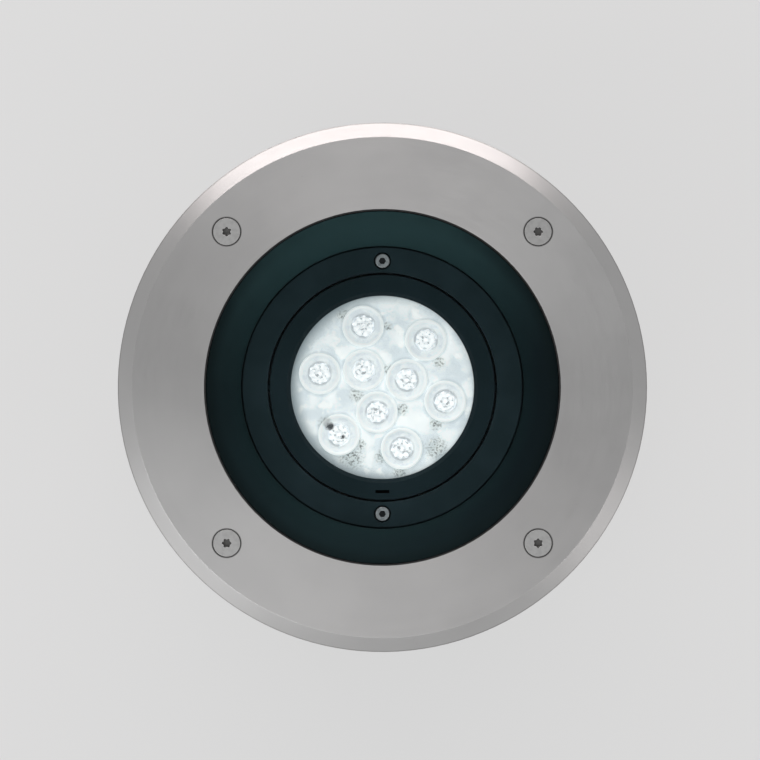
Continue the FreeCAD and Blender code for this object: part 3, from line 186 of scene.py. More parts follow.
# Threaded inserts: turned brass bushes pressed into the sleeve's bosses, which the trim screws hold in.
# The brass is dull, with fine turning marks and brown patches.
def bare_metal(name, colour, dull, rough, marks=0.0004, depth=0.000006, tarnish=0.35):
    """Bare metal: fine marks, a cloudy tarnish of the dull colour, and edges rubbed bright."""
    finish = Finish(name)
    fine = finish.grain(marks, 4, stretch=(1, 1, 3))
    clouds = finish.between(finish.grain(0.009, 6), 0.4, 0.66)
    specks = finish.between(finish.grain(0.0011, 3), 0.66, 0.78)
    rubbed = finish.edges(0.0005)
    tone = finish.mix(clouds * tarnish + specks * 0.25, colour, dull)
    tone = finish.mix(rubbed * 0.7, tone, shade(colour, 1.12))
    roughness = rough + fine * 0.12 + clouds * 0.12 - rubbed * 0.1
    normal = finish.relief(fine + specks * 0.4, depth, radius=0.0002)
    return finish.show(finish.skin(tone, roughness, normal, {"Metallic": 1.0}))


BRASS = (0.66, 0.47, 0.21)
BRASS_DULL = (0.27, 0.18, 0.085)
brass = bare_metal("brass_turned", BRASS, BRASS_DULL, rough=0.28)
dress(brass, "threaded_inserts")


# Housing: a die-cast aluminium cup with cooling fins, which hangs in the sleeve by its flange.
# The casting is bead blasted, so it is matt, slightly grainy and cloudy.
CAST_GREY = (0.36, 0.365, 0.37)
CAST_DARK = (0.16, 0.163, 0.168)
housing_cast = bare_metal("housing_cast", CAST_GREY, CAST_DARK, rough=0.44, marks=0.0011, depth=0.00004,
                          tarnish=0.5)
dress(housing_cast, "housing")


# Cable glands and vent: nickel-plated brass bodies, caps and locknuts with black silicone seals, and a
# moulded breather plug, in the housing's floor. The plating is satin, with a warm tarnish in patches.
NICKEL = (0.60, 0.575, 0.53)
NICKEL_DULL = (0.34, 0.31, 0.26)
nickel = bare_metal("nickel_plate", NICKEL, NICKEL_DULL, rough=0.2)
dress(nickel, "gland_bodies", "gland_caps", "gland_locknuts")


def rubber(name, colour, dusty, rough):
    """Moulded rubber: matt, with a grey bloom and fine mould marks."""
    finish = Finish(name)
    bloom = finish.between(finish.grain(0.007, 6), 0.42, 0.7)
    marks = finish.grain(0.0005, 3)
    tone = finish.mix(bloom * 0.4, colour, dusty)
    tone = finish.mix(finish.edges(0.0006) * 0.3, tone, dusty)
    normal = finish.relief(marks, depth=0.00001)
    return finish.show(finish.skin(tone, rough + bloom * 0.15, normal, {"Specular IOR Level": 0.4}))


SILICONE = (0.005, 0.0055, 0.006)
SILICONE_BLOOM = (0.024, 0.025, 0.026)
VENT_BLACK = (0.03, 0.03, 0.032)
VENT_SCUFF = (0.12, 0.12, 0.12)
silicone = rubber("black_silicone_moulded", SILICONE, SILICONE_BLOOM, rough=0.5)
dress(silicone, "gland_seals", "gland_orings")
dress(moulded("vent_black", VENT_BLACK, VENT_SCUFF, rough=0.5, texture=0.0004), "pressure_vent")


# LED driver: a sealed supply in a pale grey moulded case, hung below the tray by a lug at each end.
# The case is bare, with a light moulded grain.
CASE_GREY = (0.58, 0.585, 0.59)
CASE_SCUFF = (0.72, 0.72, 0.71)
dress(moulded("driver_grey", CASE_GREY, CASE_SCUFF, rough=0.5, texture=0.0008), "led_driver")


# Gear tray: a zinc-plated steel plate on turned standoffs, which carries the driver, the terminal block
# and the brass earth point. The plating shows faint crystal patches.
ZINC_DARK = (0.52, 0.53, 0.55)
ZINC_PALE = (0.68, 0.69, 0.70)
ZINC_YELLOW = (0.62, 0.58, 0.46)
ZINC_RUBBED = (0.8, 0.8, 0.8)
CRYSTAL = 0.006


def zinc_plate(name):
    """Zinc plating: crystal patches that differ in tone and gloss, with a faint yellow cast in places."""
    finish = Finish(name)
    crystals = finish.node("TexVoronoi", {}, {"Vector": finish.place(), "Scale": 1 / CRYSTAL}, "Color")
    patch = finish.axis(0, crystals)
    cast = finish.between(finish.grain(0.02, 3), 0.4, 0.6)
    fine = finish.grain(0.0005, 3)
    tone = finish.mix(patch, ZINC_DARK, ZINC_PALE)
    tone = finish.mix(cast * 0.3, tone, ZINC_YELLOW)
    tone = finish.mix(finish.edges(0.0005) * 0.5, tone, ZINC_RUBBED)
    roughness = 0.26 + patch * 0.14 + fine * 0.08
    normal = finish.relief(fine + patch * 0.3, depth=0.000006, radius=0.0002)
    return finish.show(finish.skin(tone, roughness, normal, {"Metallic": 1.0}))


STAINLESS = (0.56, 0.55, 0.535)
STAINLESS_DULL = (0.40, 0.385, 0.37)
TERMINAL_IVORY = (0.60, 0.56, 0.45)
TERMINAL_SCUFF = (0.70, 0.68, 0.62)
zinc = zinc_plate("zinc_crystals")
stainless = bare_metal("stainless_screw", STAINLESS, STAINLESS_DULL, rough=0.26, marks=0.0003)
dress(zinc, "gear_tray", "terminal_clamps")
dress(stainless, "tray_standoffs", "tray_screws", "driver_screws")
dress(brass, "earth_washer", "earth_screw")
dress(moulded("terminal_ivory", TERMINAL_IVORY, TERMINAL_SCUFF, rough=0.42, texture=0.0007), "terminal_block")


# Carrier ring: the fixed plate that the middle ring turns in, machined and black anodised. Screws hold it
# to the housing's bosses, and a pin in it stops the turn. Its black reflects little, with a blue-green tint.
RING_BLACK = (0.0140, 0.0212, 0.0268)
RING_WORN = (0.06, 0.07, 0.075)
SLOT_SHADE = (0.0008, 0.0010, 0.0014)
TEAL_GLOSS = {"Specular IOR Level": 0.26, "Specular Tint": (0.45, 0.90, 1.0)}


def anodised(name, colour, rough, wear, slot=None):
    """Black anodised aluminium, turned: ring-shaped tool marks round the light's axis, with worn edges.

    slot gives the centre of a milled slot, and where the painted shade in it ends along it and across it.
    """
    finish = Finish(name)
    place = finish.place()
    track = finish.node("CombineXYZ", {}, {0: finish.away(place), 2: finish.axis(2, place) * 0.5})
    turning = finish.grain(0.00035, 3, track)
    fine = finish.grain(0.00025, 2)
    clouds = finish.between(finish.grain(0.02, 5), 0.35, 0.68)
    rubbed = finish.edges(0.0006) * finish.between(finish.grain(0.004, 4), 0.36, 0.6)
    specks = finish.between(finish.grain(0.0009, 2), 0.7, 0.76)
    tone = finish.mix(clouds, shade(colour, 0.82), shade(colour, 1.2))
    tone = finish.mix(rubbed * wear + specks * 0.12, tone, RING_WORN)
    roughness = rough + turning * 0.1 + clouds * 0.08 - rubbed * 0.1
    normal = finish.relief(turning + fine * 0.5, depth=0.000008, radius=0.0002)
    surface = finish.skin(tone, roughness, normal, TEAL_GLOSS)
    if slot:
        spot, along, across = slot
        offset = finish.node("VectorMath", {"operation": "SUBTRACT"}, {0: place, 1: (*spot, 0)})
        offset = finish.node("VectorMath", {"operation": "ABSOLUTE"}, {0: offset})
        within = 1 - finish.between(finish.axis(0, offset), *along)
        within = within * (1 - finish.between(finish.axis(1, offset), *across))
        # Painted shade: a near-black matt sheet fills the milled slot.
        slot_shade = finish.node("BsdfDiffuse", {}, {"Color": SLOT_SHADE})
        surface = finish.node("MixShader", {}, {0: within, 1: surface, 2: slot_shade})
    return finish.show(surface)


ring_black = anodised("middle_ring_black", RING_BLACK, rough=0.42, wear=0.2)
dress(ring_black, "carrier_ring")
dress(stainless, "carrier_screws", "stop_pin")


# Middle ring: turned and black anodised. It turns in the carrier to aim the light, and its two cap screws
# pull shoes up under the carrier to lock it. Keys have rubbed the black off the screws' heads. The pins
# that carry the light head are blackened to match the ring.
CAP_DULL = (0.30, 0.315, 0.34)
CAP_STEEL = (0.46, 0.475, 0.50)
CAP_RECESS_SHADE = (0.040, 0.041, 0.046)
RECESS_SHADE_DEPTH = (0.0006, 0.0013)


def keyed_steel(name, dull, colour, recess_shade, head_top):
    """Steel of a screw's head, rubbed by the key, with painted shade in the recess and down its sides."""
    finish = Finish(name)
    place = finish.place()
    worn = finish.between(finish.grain(0.0022, 4, place), 0.3, 0.6)
    fine = finish.grain(0.0002, 3, place)
    # Painted shade: darker in the recess and down the sides, below the head's top.
    shaded_recess = finish.between(head_top - finish.axis(2, place), *RECESS_SHADE_DEPTH)
    tone = finish.mix(worn, dull, colour)
    tone = finish.mix(finish.edges(0.0004) * 0.7, tone, shade(colour, 1.4))
    tone = finish.mix(shaded_recess * 0.95, tone, recess_shade)
    roughness = 0.32 + fine * 0.12 + shaded_recess * 0.3
    normal = finish.relief(fine, depth=0.000005, radius=0.00025)
    return finish.show(finish.skin(tone, roughness, normal, {"Metallic": 1.0}))


cap_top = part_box("pan_lock_screws")[1].z
dress(ring_black, "pan_ring", "clamp_shoe", "stop_shoe", "pivot_pins")
dress(keyed_steel("cap_screw_worn", CAP_DULL, CAP_STEEL, CAP_RECESS_SHADE, cap_top), "pan_lock_screws")


# Light head: a turned aluminium heat sink cup, in which the LED board lies on a soft pad, and the black
# anodised bezel that frames the lenses and has one slot milled in its face. Three long screws join cup and
# bezel. The head tilts on two pins, in bronze bushes pressed into the bezel's skirt.
SINK_GREY = (0.68, 0.69, 0.70)
SINK_DULL = (0.50, 0.505, 0.51)
PAD_GREY = (0.25, 0.26, 0.28)
PAD_DUSTY = (0.36, 0.37, 0.38)
BOARD_WHITE = (0.74, 0.75, 0.75)
BOARD_SCUFF = (0.80, 0.80, 0.79)
BRONZE = (0.50, 0.32, 0.16)
BRONZE_DULL = (0.24, 0.15, 0.08)
BEZEL_BLACK = (0.0084, 0.0128, 0.0172)
BEZEL_SLOT = ((0, -0.0498), (0.00320, 0.00345), (0.00062, 0.00085))
dress(bare_metal("sink_aluminium", SINK_GREY, SINK_DULL, rough=0.3), "heat_sink")
dress(rubber("thermal_pad_grey", PAD_GREY, PAD_DUSTY, rough=0.6), "thermal_pad")
dress(moulded("board_white", BOARD_WHITE, BOARD_SCUFF, rough=0.35, texture=0.0009), "led_board")
dress(bare_metal("bush_bronze", BRONZE, BRONZE_DULL, rough=0.4), "pivot_bushes")
dress(stainless, "heat_sink_screws")
dress(silicone, "lead_grommet")
dress(anodised("bezel_black", BEZEL_BLACK, rough=0.44, wear=0.15, slot=BEZEL_SLOT), "optic_bezel")


# Emitters: square LED packages soldered to the board, one below each lens. Each has a yellow phosphor
# face, which glows warm white.
PHOSPHOR_DEEP = (0.86, 0.66, 0.20)
PHOSPHOR_PALE = (0.92, 0.80, 0.42)
PHOSPHOR_GLOW = {"Emission Color": (1.0, 0.96, 0.88), "Emission Strength": 1.0}


def phosphor(name):
    """A yellow face of fine dots that glows."""
    finish = Finish(name)
    dots = finish.grain(0.0004, 3)
    tone = finish.mix(dots, PHOSPHOR_DEEP, PHOSPHOR_PALE)
    normal = finish.relief(dots, depth=0.00001)
    return finish.show(finish.skin(tone, 0.45 + dots * 0.1, normal, PHOSPHOR_GLOW))


dress(phosphor("emitter_phosphor"), "led_emitters")


# Lens holder: a white moulded cup that stands on the board and holds the lenses by their flanges.
# It is slightly see-through, and a painted glow stands in for the lenses' light in it, so it looks lit and
# cloudy.
# Painted shade darkens it round each lens and towards the bezel, and dust lies in patches, some of them
# painted contact shadows.
LENS_PITCH = 0.0211
LENS_TURN = math.radians(17.5)
INNER_REACH = LENS_PITCH / math.sqrt(3)
OUTER_REACH = INNER_REACH * math.sqrt(0.75) + math.sqrt(LENS_PITCH ** 2 - (INNER_REACH / 2) ** 2)
inner_turns = [(INNER_REACH, LENS_TURN + math.radians(120 * step)) for step in range(3)]
outer_turns = [(OUTER_REACH, LENS_TURN + math.radians(30 + 60 * step)) for step in range(6)]
lens_spots = [(reach * math.cos(turn), reach * math.sin(turn)) for reach, turn in inner_turns + outer_turns]
HOLDER_WHITE = (0.97, 0.985, 1.0)
HOLDER_SPOT = (1.0, 1.0, 1.0)
HOLDER_CLOUD = (0.68, 0.735, 0.785)
HOLDER_SHADE = (0.30, 0.345, 0.37)
DUST_AND_SHADE_FILM = (0.42, 0.46, 0.45)
DUST_GRIT = (0.10, 0.115, 0.11)
# Places where dust has gathered, some of them painted contact shadows beside the lenses, and how far each
# reaches.
DUST_AND_SHADE_PATCHES = ((-0.0150, -0.0337, 0.0085), (-0.0106, -0.0275, 0.0040), (0.0259, -0.0292, 0.0075),
                (-0.0125, -0.0036, 0.0048), (0.0096, -0.0106, 0.0042), (0.0256, -0.0173, 0.0045),
                (0.0272, 0.0118, 0.0040), (-0.0004, -0.0333, 0.0045), (-0.0273, -0.0174, 0.0050),
                (-0.0189, 0.0349, 0.0045), (0.0025, 0.0087, 0.0035), (0.0025, 0.0292, 0.0030),
                (0.0086, -0.0414, 0.0050))
# Painted shade darkens the white close round each lens, and from RIM_START out to the bezel. On the right,
# where more light reaches in, this painted shade starts LIT_SHIFT further out and is weaker.
LENS_SHADE = (0.0098, 0.0118)
RIM_START = 0.0366
RIM_DARK = 0.0440
LIT_SIDE = (-0.030, 0.034)
LIT_SHIFT = 0.0026


def holder_plastic(name):
    """White plastic with clouds and pale spots, painted shade round each lens and at its rim, dust patches
    that are partly painted shadow, and a painted glow.
    """
    finish = Finish(name)
    place = finish.place()

    def least(wires):
        nearest = wires[0]
        for wire in wires[1:]:
            nearest = finish.node("Math", {"operation": "MINIMUM"}, {0: nearest, 1: wire})
        return nearest

    clouds = finish.between(finish.grain(0.009, 5, place), 0.36, 0.62)
    spots = finish.between(finish.grain(0.0062, 2, place), 0.55, 0.68)
    fine = finish.grain(0.0012, 4, place)
    from_dust_and_shade = least([finish.away(place, (x, y)) * (1 / far) for x, y, far in DUST_AND_SHADE_PATCHES])
    # Dust and painted shadow: the patches darken the white, some as dust, some as contact shadows of the
    # lenses.
    dusty = 1 - finish.between(from_dust_and_shade, 0.15, 1.0)
    grit = finish.between(finish.grain(0.0011, 5, place), 0.46, 0.63) * dusty
    # Painted shade close round each lens.
    corner_shade = 1 - finish.between(least([finish.away(place, spot) for spot in lens_spots]), *LENS_SHADE)
    # Painted light: the right side counts as lit, so the painted shade at the rim starts further out there
    # and is weaker.
    lit = finish.between(finish.axis(0, place), *LIT_SIDE)
    rim = finish.between(finish.away(place) - lit * LIT_SHIFT, RIM_START, RIM_DARK)
    tone = finish.mix(clouds * 0.75 + fine * 0.25, HOLDER_CLOUD, HOLDER_WHITE)
    tone = finish.mix(spots * 0.9, tone, HOLDER_SPOT)
    tone = finish.mix(corner_shade * 0.36, tone, HOLDER_SHADE)
    tone = finish.mix(dusty * 0.42, tone, DUST_AND_SHADE_FILM)
    tone = finish.mix(grit * 0.84, tone, DUST_GRIT)
    tone = finish.mix(rim * (1 - lit * 0.3), tone, HOLDER_SHADE)
    normal = finish.relief(clouds + fine * 0.6, depth=0.0004)
    # Painted glow: the plastic's own tone as emission, standing in for the lenses' light.
    return finish.show(finish.skin(tone, 0.34 + fine * 0.2, normal, {"Emission Strength": 0.42},
                                   {"Emission Color": tone}))


dress(holder_plastic("holder_white"), "lens_holder")


# Lenses: clear acrylic collimators, moulded with a frosted face and held in the holder. Each has a flat
# rim, a shallow dished band, and a bright scalloped core over its emitter. A painted glow over each lens,
# brightest in the core, stands in for the emitter's light.
LENS_R = 0.010
LENS_STEPS = 96
LENS_SCALLOPS = 9
lens_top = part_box("tir_lenses")[1].z
lens_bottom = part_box("tir_lenses")[0].z
# Points of the profile: their distance from the axis as a share of LENS_R, and their height against the
# top of the rim. The body has a neck below the flange. The face goes from the rim inwards to the core,
# whose edge is scalloped.
LENS_FOOT = 0.45
LENS_BODY = ((0.780, -0.00320), (0.780, -0.00122), (1.000, -0.00120))
LENS_FACE = ((1.000, -0.00040), (0.992, -0.00012), (0.975, 0.0), (0.900, 0.0), (0.885, -0.00010),
             (0.850, -0.00032), (0.790, -0.00070), (0.720, -0.00100), (0.650, -0.00115), (0.600, -0.00112),
             (0.575, -0.00070), (0.560, -0.00062), (0.530, -0.00066))
LENS_CORE = ((0.505, -0.00150), (0.480, -0.00155), (0.462, -0.00040), (0.430, -0.00018), (0.360, -0.00020),
             (0.280, -0.00042), (0.200, -0.00050), (0.150, -0.00022), (0.110, -0.00040), (0.050, -0.00060))
SCALLOP_TURN = 1.7
SCALLOP_SHARE = 0.035
SCALLOP_RIPPLE = 0.00006


def lens_mesh(name, turn):
    """A lens about its own axis, its rim's top at height 0. turn sets where its scallops lie."""
    mesh = bmesh.new()
    depth = lens_bottom - lens_top

    def ring(reach, height, scallop=0.0, ripple=0.0):
        points = []
        for step in range(LENS_STEPS):
            angle = 2 * math.pi * step / LENS_STEPS
            lobe = math.cos(LENS_SCALLOPS * angle + turn)
            wander = noise.noise(Vector((math.cos(angle), math.sin(angle), turn + reach * 3)) * 2.0)
            out = LENS_R * reach * (1 + scallop * lobe + scallop * wander)
            points.append(mesh.verts.new((out * math.cos(angle), out * math.sin(angle),
                                          height + ripple * (lobe + wander))))
        return points

    rings = [ring(LENS_FOOT, depth)]
    for reach, height in LENS_BODY + LENS_FACE:
        rings.append(ring(reach, height))
    for reach, height in LENS_CORE:
        rings.append(ring(reach, height, SCALLOP_SHARE, SCALLOP_RIPPLE))
    for below, above in zip(rings, rings[1:]):
        for step in range(LENS_STEPS):
            after = (step + 1) % LENS_STEPS
            mesh.faces.new((below[step], below[after], above[after], above[step]))
    top = mesh.verts.new((0, 0, LENS_CORE[-1][1]))
    base = mesh.verts.new((0, 0, depth))
    for step in range(LENS_STEPS):
        after = (step + 1) % LENS_STEPS
        mesh.faces.new((rings[-1][step], rings[-1][after], top))
        mesh.faces.new((rings[0][after], rings[0][step], base))
    for face in mesh.faces:
        face.smooth = True
    data = bpy.data.meshes.new(name)
    mesh.to_mesh(data)
    mesh.free()
    return data


# Where the zones of the face start and end, as distances from the lens's axis: the grey ring round the
# chip, the seams between the core's petals, the core's edge, the groove round it and the rim.
CHIP_INNER = (0.0006, 0.0012)
CHIP_OUTER = (0.0018, 0.0029)
SEAM_INNER = (0.0018, 0.0034)
CORE_OUTER = (0.0043, 0.0050)
GROOVE_INNER = (0.0045, 0.0050)
GROOVE_OUTER = (0.0053, 0.0062)
RIM_INNER = (0.0078, 0.0090)
PETAL_DEPTH = 0.00025
LENS_GREY = (0.80, 0.83, 0.88)
LENS_PALE = (0.95, 0.965, 0.98)
LENS_RIM = (0.99, 0.995, 0.99)
LENS_GROOVE_SHADE = (0.30, 0.32, 0.34)
CORE_WHITE = (0.98, 0.98, 1.0)
CORE_MARK = (0.26, 0.27, 0.29)
GLOW_BAND = (0.25, 0.265, 0.28)
GLOW_CORE = (0.60, 0.61, 0.63)
GLOW_RIM = (0.40, 0.42, 0.43)
STAIN = (0.02, 0.025, 0.035)


def lens_acrylic(name, stains=()):
    """Frosted acrylic: cool grey band with painted shade round the core, white rim, and a painted glow that
    is brightest in the core, which has grey marks of the chip.

    A stain has its place on the lens, how far it reaches and how dark it is.
    """
    finish = Finish(name)
    place = finish.place()
    reach = finish.away(place)
    chance = finish.node("ObjectInfo", {}, {}, "Random")
    shift = finish.node("CombineXYZ", {}, {0: chance, 1: chance * 3, 2: chance * 7})
    shifted = finish.node("VectorMath", {"operation": "ADD"}, {0: place, 1: shift})
    clouds = finish.between(finish.grain(0.0045, 4, shifted), 0.34, 0.62)
    marks = finish.grain(0.0013, 4, shifted)
    turn = finish.node("Math", {"operation": "ARCTAN2"}, {0: finish.axis(1, place), 1: finish.axis(0, place)})
    petals = finish.node("Math", {"operation": "SINE"}, {0: turn * LENS_SCALLOPS + chance * 40})
    core = 1 - finish.between(reach - petals * PETAL_DEPTH + (marks - 0.5) * 0.0022, *CORE_OUTER)
    seams = (1 - petals) * finish.between(reach, *SEAM_INNER)
    # Painted shade in the groove round the core, broken into crescents by noise.
    groove = finish.between(reach, *GROOVE_INNER) * (1 - finish.between(reach, *GROOVE_OUTER))
    groove = groove * finish.between(finish.grain(0.007, 1, shifted), 0.44, 0.56)
    rim = finish.between(reach, *RIM_INNER)
    chip = finish.between(reach, *CHIP_INNER) * (1 - finish.between(reach, *CHIP_OUTER))
    grey = finish.between(marks, 0.51, 0.62) * 0.6 + chip * 0.4 + seams * 0.13
    tone = finish.mix(clouds, LENS_GREY, LENS_PALE)
    tone = finish.mix(rim * 0.8, tone, LENS_RIM)
    tone = finish.mix(groove * 0.75, tone, LENS_GROOVE_SHADE)
    tone = finish.mix(core, tone, finish.mix(grey, CORE_WHITE, CORE_MARK))
    # Painted glow: the emitter's light, painted into the lens, brightest in the core.
    glow = finish.mix(core * (1 - grey), GLOW_BAND, GLOW_CORE)
    glow = finish.mix(rim * 0.5, glow, GLOW_RIM)
    for x, y, far, share in stains:
        stain = 1 - finish.between(finish.away(place, (x, y)) + (marks - 0.5) * 0.0030, far * 0.3, far)
        tone = finish.mix(stain * share * 0.9, tone, STAIN)
        glow = finish.mix(stain * share, glow, (0.0, 0.0, 0.0))
    normal = finish.relief(marks, depth=0.00012)
    return finish.show(finish.skin(tone, 0.22 + clouds * 0.15, normal, {"Emission Strength": 1.0},
                                   {"Emission Color": glow}))


# The seventh lens has a dark stain with a smear beside its core, and a small one on the core.
STAINED_LENS = 7
LENS_STAINS = ((-0.0042, 0.0040, 0.0025, 1.0), (0.0020, -0.0011, 0.0013, 1.0), (-0.0062, 0.0064, 0.0034, 0.4))
lens_frosted = lens_acrylic("lens_frosted")
lens_stained = lens_acrylic("lens_stained", LENS_STAINS)
for number, spot in enumerate(lens_spots, 1):
    lens = bpy.data.objects.new(f"lens_{number}", lens_mesh(f"lens_{number}", number * SCALLOP_TURN))
    lens.data.materials.append((lens_stained if number == STAINED_LENS else lens_frosted).owner)
    lens.location = (*spot, lens_top)
    bpy.context.scene.collection.objects.link(lens)
    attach(lens, "light_head")
    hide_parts("tir_lenses")


# Shroud: a spun cone, held by its rim between the gasket and the housing, in matt black paint with a fine
# orange peel. Painted light makes the black a little lighter and greener at the back, at the lower left and
# towards the middle, and painted shade makes it darkest along the outer edge.
SHROUD_DARK = (0.0036, 0.0062, 0.0092)
SHROUD_LIT_TEAL = (0.0330, 0.0700, 0.0760)
SHROUD_EDGE_SHADE = (0.0006, 0.0010, 0.0014)
SHROUD_CLOUD = (0.0050, 0.0100, 0.0125)
SHROUD_DUST = (0.05, 0.06, 0.06)
SHROUD_INNER = 0.0665
SHROUD_MIDDLE = 0.0765
SHROUD_OUTER = 0.0835
BACK_LIGHT_FADE = (-0.005, 0.088)
CORNER_LIGHT_FADE = (0.010, 0.085)


def cone_paint(name):
    """Matt paint, with painted light at the back, a little at the lower left and towards the middle, and
    painted shade along its outer edge.
    """
    finish = Finish(name)
    place = finish.place()
    peel = finish.grain(0.0009, 3, place)
    clouds = finish.grain(0.012, 4, place)
    x = finish.axis(0, place)
    y = finish.axis(1, place)
    # Painted light: the black grows lighter and greener towards the back, and a little towards the lower
    # left.
    back = finish.between(y - x * 0.15 + (clouds - 0.5) * 0.02, *BACK_LIGHT_FADE)
    painted_light = back + finish.between(x * -0.62 - y * 0.72, *CORNER_LIGHT_FADE) * 0.25
    dust = finish.between(finish.grain(0.0013, 3, place), 0.68, 0.76)
    reach = finish.away(place)
    # Painted light towards the middle of the cone, and painted shade along its outer edge, under the ring.
    inner_light = 1 - finish.between(reach, SHROUD_INNER, SHROUD_MIDDLE)
    edge_shade = finish.between(reach, SHROUD_MIDDLE, SHROUD_OUTER)
    tone = finish.mix(painted_light, SHROUD_DARK, SHROUD_LIT_TEAL)
    tone = finish.mix(inner_light * 0.23, tone, SHROUD_LIT_TEAL)
    tone = finish.mix(edge_shade * (0.8 - painted_light * painted_light * painted_light * 0.75), tone, SHROUD_EDGE_SHADE)
    tone = finish.mix(clouds * 0.1, tone, SHROUD_CLOUD)
    tone = finish.mix(dust * 0.05 + finish.edges(0.0006) * 0.15, tone, SHROUD_DUST)
    normal = finish.relief(peel, depth=0.00002)
    return finish.show(finish.skin(tone, 0.38 + clouds * 0.08, normal, TEAL_GLOSS))


dress(cone_paint("shroud_paint"), "shroud")


# Glass and gasket: a stepped disc of tempered glass, clear and polished, in a black silicone channel.
# A black band runs round its upper edge, and the glass carries a faint film of dust.
GLASS_CLEAR = (0.965, 0.985, 0.98)
GLASS_GLOSS = (0.01, 0.01, 0.01)
GLASS_SPECK = (0.3, 0.3, 0.3)
EDGE_BLACK = (0.0012, 0.0014, 0.0018)
BLACK_EDGE_INNER = (0.0829, 0.0831)
BLACK_EDGE_DEPTH = (0.0006, 0.0009)
glass_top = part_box("glass_lens")[1].z


def clear_glass(name):
    """Clear glass: see-through, a mirror at a slant, with dust specks, and a black band round its upper edge.
    """
    finish = Finish(name)
    place = finish.place()
    film = finish.between(finish.grain(0.012, 6), 0.45, 0.75)
    specks = finish.between(finish.grain(0.0006, 3), 0.74, 0.80)
    tone = finish.mix(specks, GLASS_GLOSS, GLASS_SPECK)
    normal = finish.relief(film, depth=0.0000005, radius=0.0004)
    clear = finish.node("BsdfTransparent", {}, {"Color": GLASS_CLEAR})
    gloss = finish.skin(tone, 0.02 + film * 0.05, normal, {"IOR": 1.5})
    slant = finish.node("LayerWeight", {}, {"Blend": 0.5}, "Facing")
    mirror = 0.04 + finish.node("Math", {"operation": "POWER"}, {0: slant, 1: 5}) * 0.9
    glass = finish.node("MixShader", {}, {0: mirror + specks * 0.05, 1: clear, 2: gloss})
    depth = glass_top - finish.axis(2, place)
    black_edge = finish.between(finish.away(place), *BLACK_EDGE_INNER) * (1 - finish.between(depth, *BLACK_EDGE_DEPTH))
    black_edge_shader = finish.node("BsdfDiffuse", {}, {"Color": EDGE_BLACK})
    return finish.show(finish.node("MixShader", {}, {0: black_edge, 1: glass, 2: black_edge_shader}))


dress(clear_glass("glass_clear"), "glass_lens")
dress(silicone, "glass_gasket")


# Trim ring: turned stainless, with a lip over the glass and a bevelled rim. It is satin finished on the
# lathe, so fine marks run round it and stretch its highlights. Four screws with star recesses hold it,
# their heads flush, with washers below.
RING_GREY = (0.537, 0.533, 0.532)
RING_PALE = (0.562, 0.558, 0.556)
RING_SPECK = (0.34, 0.33, 0.32)
RING_RUBBED = (0.70, 0.69, 0.68)
RING_LIP = (0.25, 0.24, 0.235)
SCREW_GAP_SHADE = (0.16, 0.158, 0.156)
HOLE_SHADE = (0.006, 0.006, 0.007)
SCREW_DULL = (0.50, 0.50, 0.497)
SCREW_STEEL = (0.56, 0.56, 0.556)
SCREW_RECESS_SHADE = (0.18, 0.178, 0.175)
SCREW_CIRCLE = 0.1039
SCREW_GAP = (0.0069, 0.0073)
HOLE_DEPTH = (0.0003, 0.0008)
BEVEL_INNER = (0.1160, 0.1170)
LIP_INNER = (0.12440, 0.12475)
MARK_STRETCH = 0.004
ring_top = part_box("trim_ring")[1].z


def satin_ring(name):
    """Satin stainless: marks that run round the ring, painted shade round the screws, and painted shade that
    makes the holes look black.
    """
    finish = Finish(name)
    place = finish.place()
    reach = finish.away(place)
    depth = ring_top - finish.axis(2, place)
    level = finish.node("VectorMath", {"operation": "MULTIPLY"}, {0: place, 1: (1, 1, 0)})
    along = finish.node("VectorMath", {"operation": "NORMALIZE"}, {0: level})
    stretch = (MARK_STRETCH, MARK_STRETCH, 0)
    track = finish.node("VectorMath", {"operation": "MULTIPLY"}, {0: along, 1: stretch})
    across = finish.node("CombineXYZ", {}, {2: reach - depth})
    track = finish.node("VectorMath", {"operation": "ADD"}, {0: track, 1: across})
    turning = finish.grain(0.0003, 4, track)
    bands = finish.grain(0.003, 3, track)
    clouds = finish.between(finish.grain(0.035, 5, place), 0.35, 0.66)
    specks = finish.between(finish.grain(0.0008, 2, place), 0.72, 0.78)
    # Painted shade: near black in the countersinks, the inner wall and the underside.
    shaded_recess = finish.between(depth, *HOLE_DEPTH) * (1 - finish.between(reach, *BEVEL_INNER))
    lip = finish.between(reach, *LIP_INNER)
    folded = finish.node("VectorMath", {"operation": "ABSOLUTE"}, {0: place})
    screw_place = SCREW_CIRCLE * math.sqrt(0.5)
    # Painted shade in a thin circle round each screw head.
    gap_shade = 1 - finish.between(finish.away(folded, (screw_place, screw_place)), *SCREW_GAP)
    tone = finish.mix(bands * 0.3 + clouds * 0.6, RING_GREY, RING_PALE)
    tone = finish.mix(specks * 0.25, tone, RING_SPECK)
    tone = finish.mix(finish.edges(0.0006) * 0.3, tone, RING_RUBBED)
    tone = finish.mix(lip * 0.6, tone, RING_LIP)
    tone = finish.mix(gap_shade * 0.9, tone, SCREW_GAP_SHADE)
    tone = finish.mix(shaded_recess * 0.98, tone, HOLE_SHADE)
    roughness = 0.315 + turning * 0.10 + bands * 0.03 + clouds * 0.015
    normal = finish.relief(turning, depth=0.0000022)
    return finish.show(finish.skin(tone, roughness, normal, {
        "Metallic": 1.0, "Anisotropic": 0.6, "Anisotropic Rotation": 0.25}))


screw_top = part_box("trim_screws")[1].z
dress(satin_ring("ring_satin"), "trim_ring")
dress(keyed_steel("trim_screw_steel", SCREW_DULL, SCREW_STEEL, SCREW_RECESS_SHADE, screw_top), "trim_screws")
dress(stainless, "screw_retainers")


